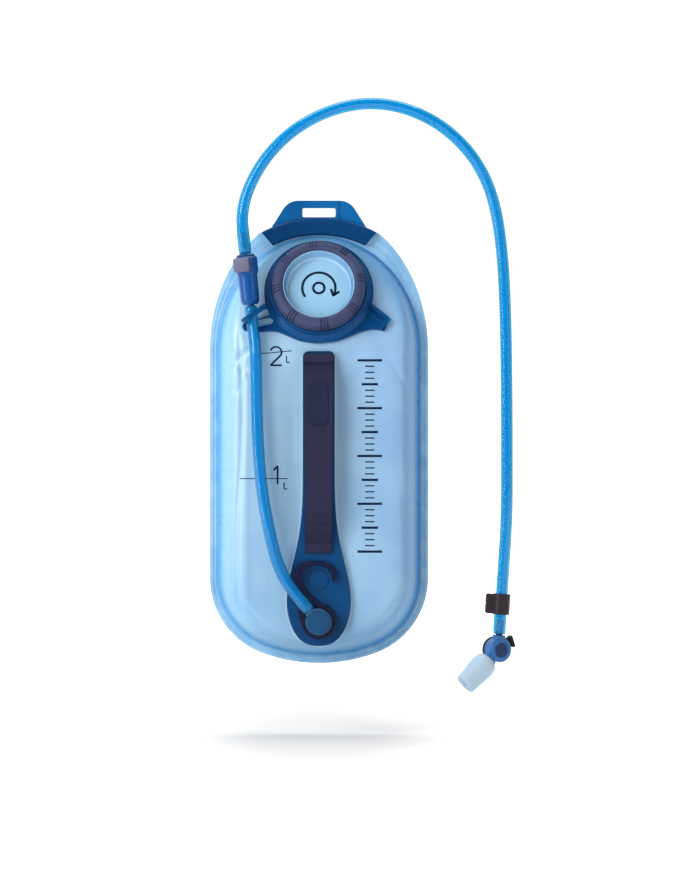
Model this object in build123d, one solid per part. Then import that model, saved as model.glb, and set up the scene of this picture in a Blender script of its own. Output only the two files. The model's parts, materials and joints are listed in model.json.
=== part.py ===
from build123d import *
from math import atan2, cos, degrees, radians, sin, sqrt, tan
import os

# Two-litre hydration bladder: a welded film bag with a screw cap, a moulded hanger, a stiff spine with a
# carrying handle, a drying hook, a drinking hose with an inline quick-release coupling, and a bite valve.
#
# Frame, in millimetres: +Z is up, the front (cap side) faces -Y and +X is to the right seen from the front.
# The origin is the centre of the hanger's strap slot. The weld plane between the two films is y = 0.

os.makedirs("parts", exist_ok=True)

# ---------------------------------------------------------------- driving dimensions: bag
HALF_WIDTH = 89.4            # half the bag's width, over the welded rim
SIDE_TOP_Z = -112.5          # the straight sides run between these two heights
SIDE_LOW_Z = -299.4
CROWN_RISE = 114.4           # height of the bag's elliptical crown above SIDE_TOP_Z
CORNER_RADIUS = 65.6         # bottom corners
BOTTOM_RADIUS = 135.3        # flatter arc between the bottom corners
RIM_TOP_RADIUS = 126.0       # shallow arc that trims the crown inside the hanger's clamp bar
RIM_TOP_Z = -7.0
RIM = 7.0                    # welded rim outside the formed pocket
POCKET_CROWN_RISE = 93.0     # height of the pocket's crown above SIDE_TOP_Z
FILM = 0.8
FRONT_DEPTH = 34.0           # pocket depth in front of the weld plane
BACK_DEPTH = 16.0
FRONT_SHOULDER = 14.0        # how far the pocket's sides lean in over its depth
BACK_SHOULDER = 12.0
SLOPE_START_Z = -114.0       # above this height the front face leans back
SLOPE = 20.0                 # degrees

# ---------------------------------------------------------------- cap and collar
# Heights in this group are measured along the cap's axis, from the film.
CAP_Z = -66.0                # height of the collar's centre on the sloping face
COLLAR_RADIUS = 44.5
COLLAR_PLATE = 3.0
WALL_RADIUS = 39.8           # raised wall round the foot of the screw ring
WALL_TOP = 10.6
MOUTH_RADIUS = 29.0
NECK_RADIUS = 33.5
NECK_TOP = 16.0
THREAD_LEAD = 6.0
THREAD_DEPTH = 1.2
THREAD_WIDTH = 2.4
THREAD_START = 6.2           # height of the neck thread's centre where it begins
NECK_TURNS = 1.1
RING_TURNS = 0.6
RING_RADIUS = 37.9
RING_BORE = 35.0
RING_LOW = 6.6
RING_TOP = 22.0
RING_LIP = 19.45             # underside of the lip that holds the lens down
WINDOW_RADIUS = 29.1         # opening in the ring, through which the lens shows
GASKET_THICK = 1.4
LENS_RADIUS = 33.0
LENS_THICK = 2.0
DISH_DEPTH = 9.0
GRIP_GROUPS = 8
GRIP_FIRST_ANGLE = 7.5
GRIP_DEPTH = 0.9

# ---------------------------------------------------------------- spine, handle and hook
PLATE_THICK = 3.0
SPINE_TOP_Z = -114.0
SPINE_BOTTOM_Z = -353.7
SPINE_HALF_WIDTH = 13.0
SPINE_HALF_FOOT = 26.0
STRAP_TOP_Z = -115.8
STRAP_BOTTOM_Z = -277.9
STRAP_HALF_TOP = 12.0
STRAP_HALF_BOTTOM = 10.5
STRAP_THICK = 3.2
STRAP_RISE = 11.0            # finger space under the handle's middle
PAD_Z = -156.6
PAD_SIZE = (15.4, 36.0)
HOOK_THICK = 4.6
HOOK_EYE_Z = -300.0          # centre of the hook's open eye
PORT_Z = -333.5
PORT_BARREL = 9.0
HOOK_GAP = 0.25

# ---------------------------------------------------------------- hose, coupling and bite valve
HOSE_RADIUS = 4.9
HOSE_BORE = 3.2
SLEEVE_RADIUS = 5.2          # hose end stretched over a barb
SLEEVE_BORE = 3.45
BARB_RADIUS = 2.9
BARB_RIDGE = 3.4
BARB_BORE = 2.2
BARB_LENGTH = 18.0
VALVE_BARB_LENGTH = 13.0
ELBOW_BARB_LENGTH = 9.0
HOSE_FRONT_Y = -36.0         # hose centre at the coupling
HOSE_SIDE_Y = -14.0          # hose centre down the right-hand side
COUPLING_TOP = (-59.5, HOSE_FRONT_Y, -37.5)
COUPLING_LEAN = 6.0          # degrees, top towards -X
HEAD_RADIUS = 9.3
HEAD_LENGTH = 13.0
HEAD_FLAT = 9.0              # flat on the head behind the button
PAD_FACE = 11.1              # inner face of the thumb button, at rest
BARREL_RADIUS = 8.0
SOCKET_LENGTH = 39.0
SOCKET_BARB_LENGTH = 7.5
SOCKET_BORE = 5.0
PLUG_RADIUS = 4.85
PLUG_GROOVE = 3.8
POPPET_GAP = 4.05            # poppet's travel, from held open by the plug to its seat
BUTTON_AZIMUTH = 18.0        # degrees from the front towards -X
VALVE_CENTRE = (146.4, HOSE_SIDE_Y, -357.7)
VALVE_LEAN = 3.8             # degrees, hose top towards +X
VALVE_YAW = 30.0             # the valve's disc faces this far to the right of the front
VALVE_RADIUS = 10.0
VALVE_HALF = 5.4
NOSE_ANGLE = 45.0            # mouthpiece, from straight down
ROTOR_RADIUS = 6.6
SEAL_HEIGHTS = (3.1, -3.6)
LEVER_RADIUS = 10.6
LEVER_THICK = 2.6
LEVER_ANGLE = 24.0           # thumb tab, up from the horizontal to the right
ELBOW_TURN = 40.0            # the port elbow's leg, from straight up towards -X
ELBOW_RADIUS = 10.7
RUN = 0.06                   # radial running clearance

HOOK_BACK_Y = -FRONT_DEPTH - PLATE_THICK - HOOK_GAP
HOOK_FRONT_Y = HOOK_BACK_Y - HOOK_THICK
ELBOW_BACK = -HOOK_FRONT_Y + 0.7     # the elbow's places are distances in front of the weld plane
ELBOW_FRONT = ELBOW_BACK + 11.0
ELBOW_MID = ELBOW_BACK + 5.9
ELBOW_SEAL = ELBOW_BACK - 3.6
STEM_RADIUS = 7.0                    # bore of the port, in which the elbow's stem turns
STEM_END = FRONT_DEPTH - FILM - 4.4
CLIP_UP = 37.4                       # clip centre above the valve's centre, along the hose
CLIP_LENGTH = 17.0

FRONT = Plane.XZ             # local x is X, local y is Z, and the normal is -Y


def front_y(z):
    """Y of the pocket's front face on the centre line."""
    return -FRONT_DEPTH + max(0.0, z - SLOPE_START_Z) * tan(radians(SLOPE))


def front_plane(y):
    return FRONT.offset(-y)


CAP_PLANE = Plane(
    origin=(0, front_y(CAP_Z), CAP_Z),
    x_dir=(1, 0, 0),
    z_dir=(0, -cos(radians(SLOPE)), sin(radians(SLOPE))),
)
COUPLING_AXIS = Vector(-sin(radians(COUPLING_LEAN)), 0, cos(radians(COUPLING_LEAN)))
BUTTON_OUT = Vector(-sin(radians(BUTTON_AZIMUTH)), -cos(radians(BUTTON_AZIMUTH)), 0)
COUPLING = Plane(origin=COUPLING_TOP, x_dir=BUTTON_OUT - COUPLING_AXIS * BUTTON_OUT.dot(COUPLING_AXIS),
                 z_dir=COUPLING_AXIS)
HOSE_UP = Vector(sin(radians(VALVE_LEAN)), 0, cos(radians(VALVE_LEAN)))
NOSE_SIDE = Vector(-cos(radians(VALVE_YAW)), -sin(radians(VALVE_YAW)), 0)
# Local x points to the mouthpiece's side, local z up the hose and local y out through the front disc.
VALVE = Plane(origin=VALVE_CENTRE, x_dir=NOSE_SIDE - HOSE_UP * NOSE_SIDE.dot(HOSE_UP), z_dir=HOSE_UP)
PORT = Plane(origin=(0, 0, PORT_Z), x_dir=(1, 0, 0), z_dir=(0, -1, 0))
CLIP = VALVE * Plane(origin=(0, 0, CLIP_UP), x_dir=(cos(radians(VALVE_YAW)), -sin(radians(VALVE_YAW)), 0),
                     z_dir=(0, 0, 1))


# ---------------------------------------------------------------- small helpers
def tube(radius, bore, low, high):
    """Round wall along +Z between two heights; bore 0 gives a solid bar."""
    wall = Pos(0, 0, low) * extrude(Circle(radius), high - low)
    if bore:
        wall -= Pos(0, 0, low - 1) * extrude(Circle(bore), high - low + 2)
    return wall


def turned(points):
    """Solid of revolution about +Z from (radius, height) points."""
    return revolve(Plane.XZ * make_face(Polyline(*points, close=True)), Axis.Z)


def o_ring(inner, outer, height):
    """Square-cut seal ring centred on a height."""
    half = (outer - inner) / 2
    return fillet(tube(outer, inner, height - half, height + half).edges(), half * 0.55)


def barb(start, length, bore=BARB_BORE):
    """Barbed tail along +Z with three saw-tooth ridges."""
    pitch = length / 3.5
    tail = tube(BARB_RADIUS, bore, start, start + length)
    for i in range(3):
        low = start + pitch * (i + 0.7)
        ridge = turned([(bore + 0.3, low), (BARB_RIDGE, low), (BARB_RADIUS, low + pitch * 0.7),
                        (bore + 0.3, low + pitch * 0.7)])
        tail += ridge
    return tail


def spring(radius, wire, low, high, turns):
    """Coil along +Z."""
    rise = high - low - 2 * wire
    path = Helix(rise / turns, rise, radius)
    start = Plane(origin=path @ 0, z_dir=path % 0)
    return Pos(0, 0, low + wire) * sweep(start * Circle(wire), path=path, is_frenet=True)


# ---------------------------------------------------------------- bag
def bag_outline(inset, crown_rise, crown_inset):
    """Bag outline in front view, moved in by inset: straight sides, elliptical crown, three-arc bottom."""
    side = HALF_WIDTH - inset
    corner = CORNER_RADIUS - inset
    bottom = BOTTOM_RADIUS - inset
    corner_x = side - corner
    lift = sqrt((BOTTOM_RADIUS - CORNER_RADIUS) ** 2 - corner_x ** 2)
    turn = degrees(atan2(lift, corner_x))
    right = Line((side, SIDE_TOP_Z), (side, SIDE_LOW_Z))
    right_corner = CenterArc((corner_x, SIDE_LOW_Z), corner, 0, -turn)
    base = CenterArc((0, SIDE_LOW_Z + lift), bottom, -turn, 2 * turn - 180)
    left_corner = CenterArc((-corner_x, SIDE_LOW_Z), corner, turn - 180, -turn)
    left = Line((-side, SIDE_LOW_Z), (-side, SIDE_TOP_Z))
    crown = EllipticalCenterArc((0, SIDE_TOP_Z), side, crown_rise - crown_inset, 0, arc_size=180)
    return make_face([right, right_corner, base, left_corner, left, crown])


def rim_outline(grow=0.0):
    trim = Pos(0, RIM_TOP_Z - RIM_TOP_RADIUS) * Circle(RIM_TOP_RADIUS + grow)
    lower = Pos(0, SIDE_TOP_Z - 180) * Rectangle(240, 400)
    return bag_outline(-grow, CROWN_RISE, -grow) & (trim + lower)


def pocket(depth, shoulder, inset, crown_share, toward):
    """Solid between the weld plane and a face at depth; toward is -1 for the front and +1 for the back."""
    foot = bag_outline(RIM + inset, POCKET_CROWN_RISE, inset)
    face = bag_outline(RIM + inset + shoulder, POCKET_CROWN_RISE, inset + shoulder * crown_share)
    return loft([front_plane(0) * foot, front_plane(toward * depth) * face], ruled=True)


def slope_cut(solid, thickness):
    """Cuts away what stands in front of the sloping face, moved back by thickness."""
    lean = Plane(origin=(0, -FRONT_DEPTH, SLOPE_START_Z), x_dir=(1, 0, 0), z_dir=CAP_PLANE.z_dir)
    return solid - lean.offset(-thickness) * (Pos(0, 100, 50) * Box(400, 400, 100))


def front_pocket(thickness):
    body = pocket(FRONT_DEPTH - thickness, FRONT_SHOULDER, thickness, 0.3, -1)
    return slope_cut(body, thickness)


def back_pocket(thickness):
    return pocket(BACK_DEPTH - thickness, BACK_SHOULDER, thickness, 1.0, 1)


def front_panel():
    """Formed front film with its half of the welded rim, open at the mouth and at the hose port."""
    hollow = front_pocket(FILM)
    rim = extrude(front_plane(0) * rim_outline(), FILM)
    panel = rim + front_pocket(0) - hollow
    panel -= CAP_PLANE * tube(MOUTH_RADIUS, 0, -6, 6)
    return panel - PORT * tube(PORT_BARREL + 0.1, 0, FRONT_DEPTH - 4, FRONT_DEPTH + 4)


def back_panel():
    """Formed rear film with its half of the welded rim."""
    rim = extrude(front_plane(FILM) * rim_outline(), FILM)
    return rim + back_pocket(0) - back_pocket(FILM)


def baffle_web():
    """Centre web welded between the films, which keeps the filled bag flat. Water passes through it."""
    top, bottom, wide, lap = -130.0, -262.0, 12.0, 0.8
    front, back = -FRONT_DEPTH + FILM, BACK_DEPTH - FILM
    mid, tall = (top + bottom) / 2, top - bottom
    web = Pos(0, (front + back) / 2, mid) * Box(1.2, back - front, tall)
    for y in (front + lap / 2, back - lap / 2):
        web += Pos(0, y, mid) * Box(wide, lap, tall)
    for i in range(4):
        hole = Plane.YZ * Pos((front + back) / 2, top - tall * (i + 0.5) / 4) * Circle(9)
        web -= extrude(hole, 5, both=True)
    return web


def back_plate():
    """Stiffener strip welded to the outside of the rear film, behind the web."""
    strip = front_plane(BACK_DEPTH + 1.6) * Pos(0, -196) * RectangleRounded(20, 150, 9)
    return fillet(extrude(strip, 1.6).edges().group_by(Axis.Y)[-1], 0.7)


# ---------------------------------------------------------------- hanger
def hanger():
    """Clamp bar over the top of the rim, and a loop with a slot for a 25 mm strap."""
    outer, inner, centre_z = 100.7, 86.6, -105.0
    half_bar, half_plate = 6.0, 2.3
    ends = make_face(Polyline((-69.6, 10), (69.6, 10), (26.8, -40), (-26.8, -40), close=True))
    bar_arc = (Pos(0, centre_z) * (Circle(outer) - Circle(inner))) & ends
    bead_arc = (Pos(0, centre_z) * (Circle(outer - 2.6) - Circle(outer - 4.4))) & ends
    bar = extrude(front_plane(half_bar) * bar_arc, 2 * half_bar)
    bar = fillet(bar.edges().filter_by(GeomType.CIRCLE), 2.4)
    bead = extrude(front_plane(half_bar + 0.5) * bead_arc, 2 * half_bar + 1.0)
    loop = make_face(Polyline((-25, 9.9), (25, 9.9), (38.6, -11.6), (42, -17), (0, -6), (-42, -17),
                              (-38.6, -11.6), close=True))
    loop = fillet(loop.vertices().group_by(Axis.Y)[-1], 15)
    plate = extrude(front_plane(half_plate) * loop, 2 * half_plate)
    bridge = extrude(front_plane(half_plate + 0.9) * Pos(0, 0.9) * RectangleRounded(32.4, 17.0, 2.0),
                     2 * half_plate + 1.8)
    body = bar + bead + plate + bridge
    body -= extrude(front_plane(10) * RectangleRounded(27, 7.4, 1.2), 20)
    slit = extrude(front_plane(FILM + 0.05) * rim_outline(0.15), 2 * FILM + 0.1)
    return body - slit


# ---------------------------------------------------------------- collar, cap ring, lens and gasket
def thread(radius, centre, turns, outward):
    """Right-hand helical rib on a round wall; outward is +1 on an outside wall and -1 inside a bore."""
    root, crest = -0.3 * outward, THREAD_DEPTH * outward
    half = THREAD_WIDTH / 2
    path = Helix(THREAD_LEAD, THREAD_LEAD * turns, radius)
    section = make_face(Polyline((root, -half), (crest, -half * 0.5), (crest, half * 0.5), (root, half),
                                 close=True))
    start = Plane(origin=path @ 0, x_dir=(1, 0, 0), z_dir=path % 0)
    return Pos(0, 0, centre) * sweep(start * section, path=path, is_frenet=True)


def wing_loop():
    """Hoop on the collar's left wing. The hose runs behind its front band and in front of the wing."""
    lean = radians(35)
    hoop = Plane(origin=(-53.8, HOSE_FRONT_Y - 0.6, -84.8), x_dir=(cos(lean), 0, sin(lean)),
                 z_dir=(-sin(lean), 0, cos(lean)))
    outer = Pos(1.8, 1.6) * RectangleRounded(24.0, 22.0, 6)
    inner = Pos(1.7, 4.0) * RectangleRounded(19.4, 21.2, 4.5)
    behind = CAP_PLANE * Pos(0, 0, -20) * Box(200, 200, 40)
    return hoop * (Pos(0, 0, -2.1) * extrude(outer - inner, 4.2)) - behind


def collar():
    """Threaded neck welded to the film, with a hose loop on its left wing and a tab on its right wing."""
    left = make_face([Spline((-24, -12), (-40, -20.5), (-53, -25.0), (-59.5, -27.0)),
                      ThreePointArc((-59.5, -27.0), (-62.2, -30.6), (-58.5, -34.0)),
                      Spline((-58.5, -34.0), (-46.3, -34.6), (-35, -34.5), (-24.7, -38.5), (-8, -43.6)),
                      Line((-8, -43.6), (-24, -12))])
    slot = Pos(-48.4, -27.4) * Rot(0, 0, 12) * SlotOverall(23, 6.6)
    right = make_face([Spline((24, -2), (42.5, -11), (57.6, -24.6)),
                       Line((57.6, -24.6), (53.2, -34.2)),
                       Spline((53.2, -34.2), (40.2, -33.2), (22, -40.2), (6, -43.8)),
                       Line((6, -43.8), (24, -2))])
    plate = extrude(Circle(COLLAR_RADIUS) + left + right - slot, COLLAR_PLATE)
    neck = tube(NECK_RADIUS, MOUTH_RADIUS, 0, NECK_TOP)
    wall = turned([(WALL_RADIUS - 1.6, 1), (43.8, 1), (43.8, COLLAR_PLATE), (40.8, 5.6), (WALL_RADIUS, 6.4),
                   (WALL_RADIUS, WALL_TOP - 0.6), (WALL_RADIUS - 0.5, WALL_TOP),
                   (WALL_RADIUS - 1.6, WALL_TOP)])
    rib_angle = degrees(atan2(-13.6, 16.4))
    tab_rib = Pos(48.2, -17.6, COLLAR_PLATE + 1.2) * Rot(0, 0, rib_angle) * Box(22, 2.6, 2.4)
    tab_rib += Pos(45.6, -22.8, COLLAR_PLATE + 0.8) * Rot(0, 0, rib_angle) * Box(20, 2.0, 1.6)
    tab_end = Pos(53.6, -28.6, COLLAR_PLATE + 1.2) * Rot(0, 0, rib_angle) * Box(3.4, 11.5, 2.4)
    tab = tab_rib + tab_end - tube(WALL_RADIUS, 0, 0, 20)
    body = plate + tab - tube(MOUTH_RADIUS, 0, -1, NECK_TOP + 1) + neck + wall
    body += thread(NECK_RADIUS, THREAD_START, NECK_TURNS, 1)
    return CAP_PLANE * body + wing_loop()


def ring_profile(cut):
    """Screw ring without its thread and grooves, with its outside and top moved in by cut."""
    side, top = RING_RADIUS - cut, RING_TOP - cut
    return turned([(RING_BORE, RING_LOW), (side - 0.4, RING_LOW), (side, RING_LOW + 0.4), (side, top - 4.6),
                   (side - 0.7, top - 2.2), (side - 2.2, top - 0.6), (side - 4.2, top), (31.8, top),
                   (30.3, top - 0.8), (WINDOW_RADIUS, RING_LIP), (RING_BORE, RING_LIP)])


def cap_ring():
    """Screw ring with eight groups of grip grooves. It turns round the lens and holds it down."""
    ring, floor = ring_profile(0), ring_profile(GRIP_DEPTH)
    for group in range(GRIP_GROUPS):
        for step in (-1, 0, 1):
            angle = GRIP_FIRST_ANGLE + 360 / GRIP_GROUPS * group + step * 4.2
            groove = Pos(35.4, 0, 17) * Box(8, 1.2, 13)
            ring -= Rot(0, 0, angle) * groove - floor
    ring += thread(RING_BORE, THREAD_START + THREAD_LEAD / 2, RING_TURNS, -1)
    return CAP_PLANE * ring


def cap_lens():
    """Clear dished closure that the ring presses onto the neck. It rises with the ring but doesn't turn."""
    base = NECK_TOP + GASKET_THICK
    floor = base + LENS_THICK - DISH_DEPTH
    dish = turned([(0, floor - LENS_THICK), (26.4, floor - LENS_THICK), (27.8, floor), (28.7, base),
                   (LENS_RADIUS, base), (LENS_RADIUS, base + LENS_THICK), (28.4, base + LENS_THICK),
                   (26.6, floor + 1.6), (25.0, floor), (0, floor)])
    return CAP_PLANE * dish


def cap_gasket():
    ring = tube(LENS_RADIUS - 0.2, MOUTH_RADIUS + 0.6, NECK_TOP + 0.02, NECK_TOP + GASKET_THICK - 0.02)
    return CAP_PLANE * ring


# ---------------------------------------------------------------- spine and handle
def spine_outline():
    half = SPINE_HALF_WIDTH
    right = [Line((0, SPINE_TOP_Z), (half - 5, SPINE_TOP_Z)),
             CenterArc((half - 5, SPINE_TOP_Z - 5), 5, 90, -90),
             Line((half, SPINE_TOP_Z - 5), (half, -205)),
             Spline((half, -205), (16.8, -268), (23.6, -298), (SPINE_HALF_FOOT, -319), (18.6, -344.5),
                    (0, SPINE_BOTTOM_Z), tangents=((0, -1), (-1, 0))),
             Line((0, SPINE_BOTTOM_Z), (0, SPINE_TOP_Z))]
    half_face = make_face(right)
    return half_face + mirror(half_face, Plane.YZ)


def spine_plate():
    """Stiff plate welded down the bag's front. It carries the handle, the hook and the hose port."""
    face_y = -FRONT_DEPTH - PLATE_THICK
    plate = extrude(front_plane(-FRONT_DEPTH) * spine_outline(), PLATE_THICK)
    plate = fillet(plate.edges().group_by(Axis.Y)[0], 0.9)
    plate -= strap_outline_solid(face_y + 0.8, face_y - 5, 0.25)
    ring_groove = Pos(0, HOOK_EYE_Z) * (Circle(8.6) - Circle(8.0))
    plate -= extrude(front_plane(face_y + 0.5) * ring_groove, 3)
    return plate - PORT * tube(PORT_BARREL + 0.1, 0, 20, 60)


def strap_outline_solid(y_back, y_front, grow):
    """Prism of the handle's outline in front view."""
    corner = 3.0
    wide, narrow = STRAP_HALF_TOP + grow, STRAP_HALF_BOTTOM + grow
    top, bottom = STRAP_TOP_Z + grow, STRAP_BOTTOM_Z - grow
    quad = make_face(Polyline((-wide, top), (wide, top), (narrow, bottom), (-narrow, bottom), close=True))
    quad = fillet(quad.vertices().group_by(Axis.Y)[-1], corner)
    return extrude(front_plane(y_back) * quad, y_back - y_front)


def bow_points(lift):
    """Side profile of the handle's bow as (y, z) points; lift moves it away from the plate."""
    base = -FRONT_DEPTH - PLATE_THICK + 0.8
    rise = STRAP_RISE
    shares = ((0.0, 0.0), (0.055, 0.52), (0.13, 0.86), (0.3, 0.99), (0.5, 1.0), (0.7, 0.95), (0.87, 0.72),
              (0.945, 0.42), (1.0, 0.0))
    length = STRAP_TOP_Z - STRAP_BOTTOM_Z - 2 * 7.0
    return [(base - lift - rise * share, STRAP_TOP_Z - 7.0 - length * t) for t, share in shares]


def bow_band(near, far):
    """Solid band that follows the bow between two distances from its path, wider than the handle."""
    inner, outer = bow_points(near), bow_points(far)
    ends = (STRAP_TOP_Z + 2, STRAP_BOTTOM_Z - 2)
    side = make_face([Spline(*inner, tangents=((-0.75, -0.66), (0.6, -0.8))),
                      Polyline(inner[-1], (inner[-1][0], ends[1]), (outer[-1][0], ends[1]), outer[-1]),
                      Spline(*outer, tangents=((-0.75, -0.66), (0.6, -0.8))),
                      Polyline(inner[0], (inner[0][0], ends[0]), (outer[0][0], ends[0]), outer[0])])
    return extrude(Plane.YZ * side, 20, both=True)


def pad_prism(grow):
    outline = Pos(0, PAD_Z) * RectangleRounded(PAD_SIZE[0] + 2 * grow, PAD_SIZE[1] + 2 * grow, 6)
    return extrude(front_plane(-30) * outline, 40)


def handle_strap():
    """Bowed carrying handle. Its two flat feet sit in the spine plate's shallow recess."""
    strap = strap_outline_solid(-30, -60, 0) & bow_band(0, STRAP_THICK)
    return strap - (pad_prism(0.05) & bow_band(STRAP_THICK - 1.0, STRAP_THICK + 2))


def grip_pad():
    """Soft thumb pad set into the handle."""
    return pad_prism(-0.05) & bow_band(STRAP_THICK - 0.95, STRAP_THICK + 0.5)


# ---------------------------------------------------------------- hook, port and elbow
def drying_hook():
    """Flat S-shaped hook that turns round the port's barrel, to hang the empty bag upside down."""
    tip, left_foot, right_foot = (12.7, -302.0), (-12.6, PORT_Z - 4), (12.2, PORT_Z - 4)
    outside = Spline(tip, (14.3, -298.6), (12.8, -289.8), (6.6, -285.6), (-3, -284.5), (-13.6, -285.8),
                     (-19.2, -291.6), (-19.8, -300.6), (-17.2, -312), (-17.2, -324), left_foot)
    inside = Spline(tip, (11.2, -300.4), (9.4, -293.6), (-0.8, -287.8), (-10.4, -292.2), (-12.6, -301.5),
                    (-7.8, -310.3), (4.8, -321.5), right_foot)
    outline = make_face([outside, inside, Line(left_foot, right_foot)])
    outline += Pos(0, PORT_Z) * Circle(14.7)
    outline -= Pos(0, PORT_Z) * Circle(PORT_BARREL + RUN)
    hook = extrude(front_plane(HOOK_BACK_Y) * outline, HOOK_THICK)
    return chamfer(hook.edges().group_by(Axis.Y)[0], 0.6)


def port_socket():
    """Bulkhead fitting: a flange inside the bag and a barrel through the film, the plate and the hook."""
    inside = FRONT_DEPTH - FILM
    flange = 13.0
    return PORT * turned([(STEM_RADIUS, inside - 1.8), (flange, inside - 1.8), (flange, inside),
                          (PORT_BARREL, inside), (PORT_BARREL, ELBOW_BACK - 0.2),
                          (STEM_RADIUS, ELBOW_BACK - 0.2)])


def elbow_leg():
    """Plane on the elbow's axis whose normal runs out along the hose barb."""
    turn = radians(ELBOW_TURN)
    return Plane(origin=(0, -ELBOW_MID, PORT_Z), x_dir=(0, -1, 0), z_dir=(-sin(turn), 0, cos(turn)))


def port_elbow():
    """Right-angle hose fitting that turns in the port."""
    stem = STEM_RADIUS - RUN
    body = turned([(0, STEM_END), (stem, STEM_END), (stem, STEM_END + 1.0), (6.2, STEM_END + 1.0),
                   (6.2, STEM_END + 2.4), (stem, STEM_END + 2.4), (stem, ELBOW_SEAL - 1),
                   (5.6, ELBOW_SEAL - 1), (5.6, ELBOW_SEAL + 1), (stem, ELBOW_SEAL + 1),
                   (stem, ELBOW_BACK), (ELBOW_RADIUS - 0.8, ELBOW_BACK),
                   (ELBOW_RADIUS, ELBOW_BACK + 0.8), (ELBOW_RADIUS, ELBOW_FRONT - 0.6),
                   (ELBOW_RADIUS - 0.6, ELBOW_FRONT), (0, ELBOW_FRONT)])
    fitting = PORT * body + elbow_leg() * (tube(4.6, 0, 3, ELBOW_RADIUS + 0.2)
                                           + barb(ELBOW_RADIUS - 1, ELBOW_BARB_LENGTH + 1, 0))
    fitting -= PORT * tube(9.0, 0, ELBOW_FRONT - 1.2, ELBOW_FRONT + 5)
    fitting -= PORT * tube(4.0, 0, STEM_END - 1, ELBOW_MID + 2)
    return fitting - elbow_leg() * tube(BARB_BORE, 0, 0, 60)


def elbow_cover():
    """Round badge-sized disc set into the elbow's front."""
    disc = tube(8.95, 0, ELBOW_FRONT - 1.2, ELBOW_FRONT + 0.5)
    return PORT * fillet(disc.edges().group_by(Axis.Z)[-1], 0.4)


def elbow_o_ring():
    return PORT * o_ring(5.62, 6.98, ELBOW_SEAL)


def elbow_retainer():
    """Snap ring inside the bag that holds the elbow in the port."""
    low = STEM_END + 1.05
    ring = tube(9.6, 6.25, low, low + 1.3)
    return PORT * (ring - Pos(0, -8, low + 0.6) * Box(5, 8, 4))


# ---------------------------------------------------------------- hoses
def hose(first, points, last):
    """Hose from the first plane to the last, both of which face into it. Each end is straight for a while,
    with a stretched sleeve over its barb. An end is (plane, straight length, barb length)."""
    run_in = first[0].origin + first[0].z_dir * first[1]
    run_out = last[0].origin + last[0].z_dir * last[1]
    curve = Spline(run_in, *points, run_out, tangents=(first[0].z_dir, last[0].z_dir * -1),
                   tangent_scalars=(1, 1))
    path = Line(first[0].origin, run_in) + curve + Line(run_out, last[0].origin)
    body = sweep(first[0] * Circle(HOSE_RADIUS), path=path)
    bore = sweep(first[0] * Circle(HOSE_BORE), path=path)
    for place, barbed in ((first[0], first[2]), (last[0], last[2])):
        length = barbed + 1.5
        body += place * turned([(HOSE_RADIUS - 0.8, 0), (SLEEVE_RADIUS, 0), (SLEEVE_RADIUS, length - 1),
                                (HOSE_RADIUS - 0.1, length + 2.5), (HOSE_RADIUS - 0.8, length + 2.5)])
        bore += place * turned([(0, -1), (SLEEVE_BORE, -1), (SLEEVE_BORE, length - 0.5),
                                (HOSE_BORE - 0.1, length + 1.5), (0, length + 1.5)])
    return body - bore


def lower_hose():
    """Hose from the port elbow up to the coupling's socket."""
    leg = elbow_leg()
    foot = Plane(origin=leg.origin + leg.z_dir * (ELBOW_RADIUS + 0.5), z_dir=leg.z_dir)
    top_centre = Vector(COUPLING_TOP) - COUPLING_AXIS * (SOCKET_LENGTH + 0.2)
    top = Plane(origin=top_centre, z_dir=COUPLING_AXIS * -1)
    points = [Vector(-28.2, -46.8, -297), Vector(-38.6, -46.2, -266), Vector(-44.8, -45.2, -234),
              Vector(-49.2, -44.0, -187), Vector(-50.6, -42.2, -136), Vector(-51.8, -39.4, -108)]
    return hose((foot, 11.5, ELBOW_BARB_LENGTH), points, (top, 12.0, SOCKET_BARB_LENGTH))


def upper_hose():
    """Hose from the coupling's plug, over the top and down to the bite valve."""
    foot = Plane(origin=Vector(COUPLING_TOP) + COUPLING_AXIS * 2.2, z_dir=COUPLING_AXIS)
    end = Plane(origin=Vector(VALVE_CENTRE) + HOSE_UP * 12.2, z_dir=HOSE_UP)
    points = [Vector(-50.6, -33, 31), Vector(-14, -29, 70), Vector(44.3, -23, 88), Vector(101, -18, 69),
              Vector(134.5, -15.5, 30), Vector(148, -14.5, -20), Vector(152.2, HOSE_SIDE_Y, -80),
              Vector(153.4, HOSE_SIDE_Y, -145), Vector(153.6, HOSE_SIDE_Y, -210)]
    return hose((foot, 21.0, BARB_LENGTH), points, (end, 78.0, VALVE_BARB_LENGTH))


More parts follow.
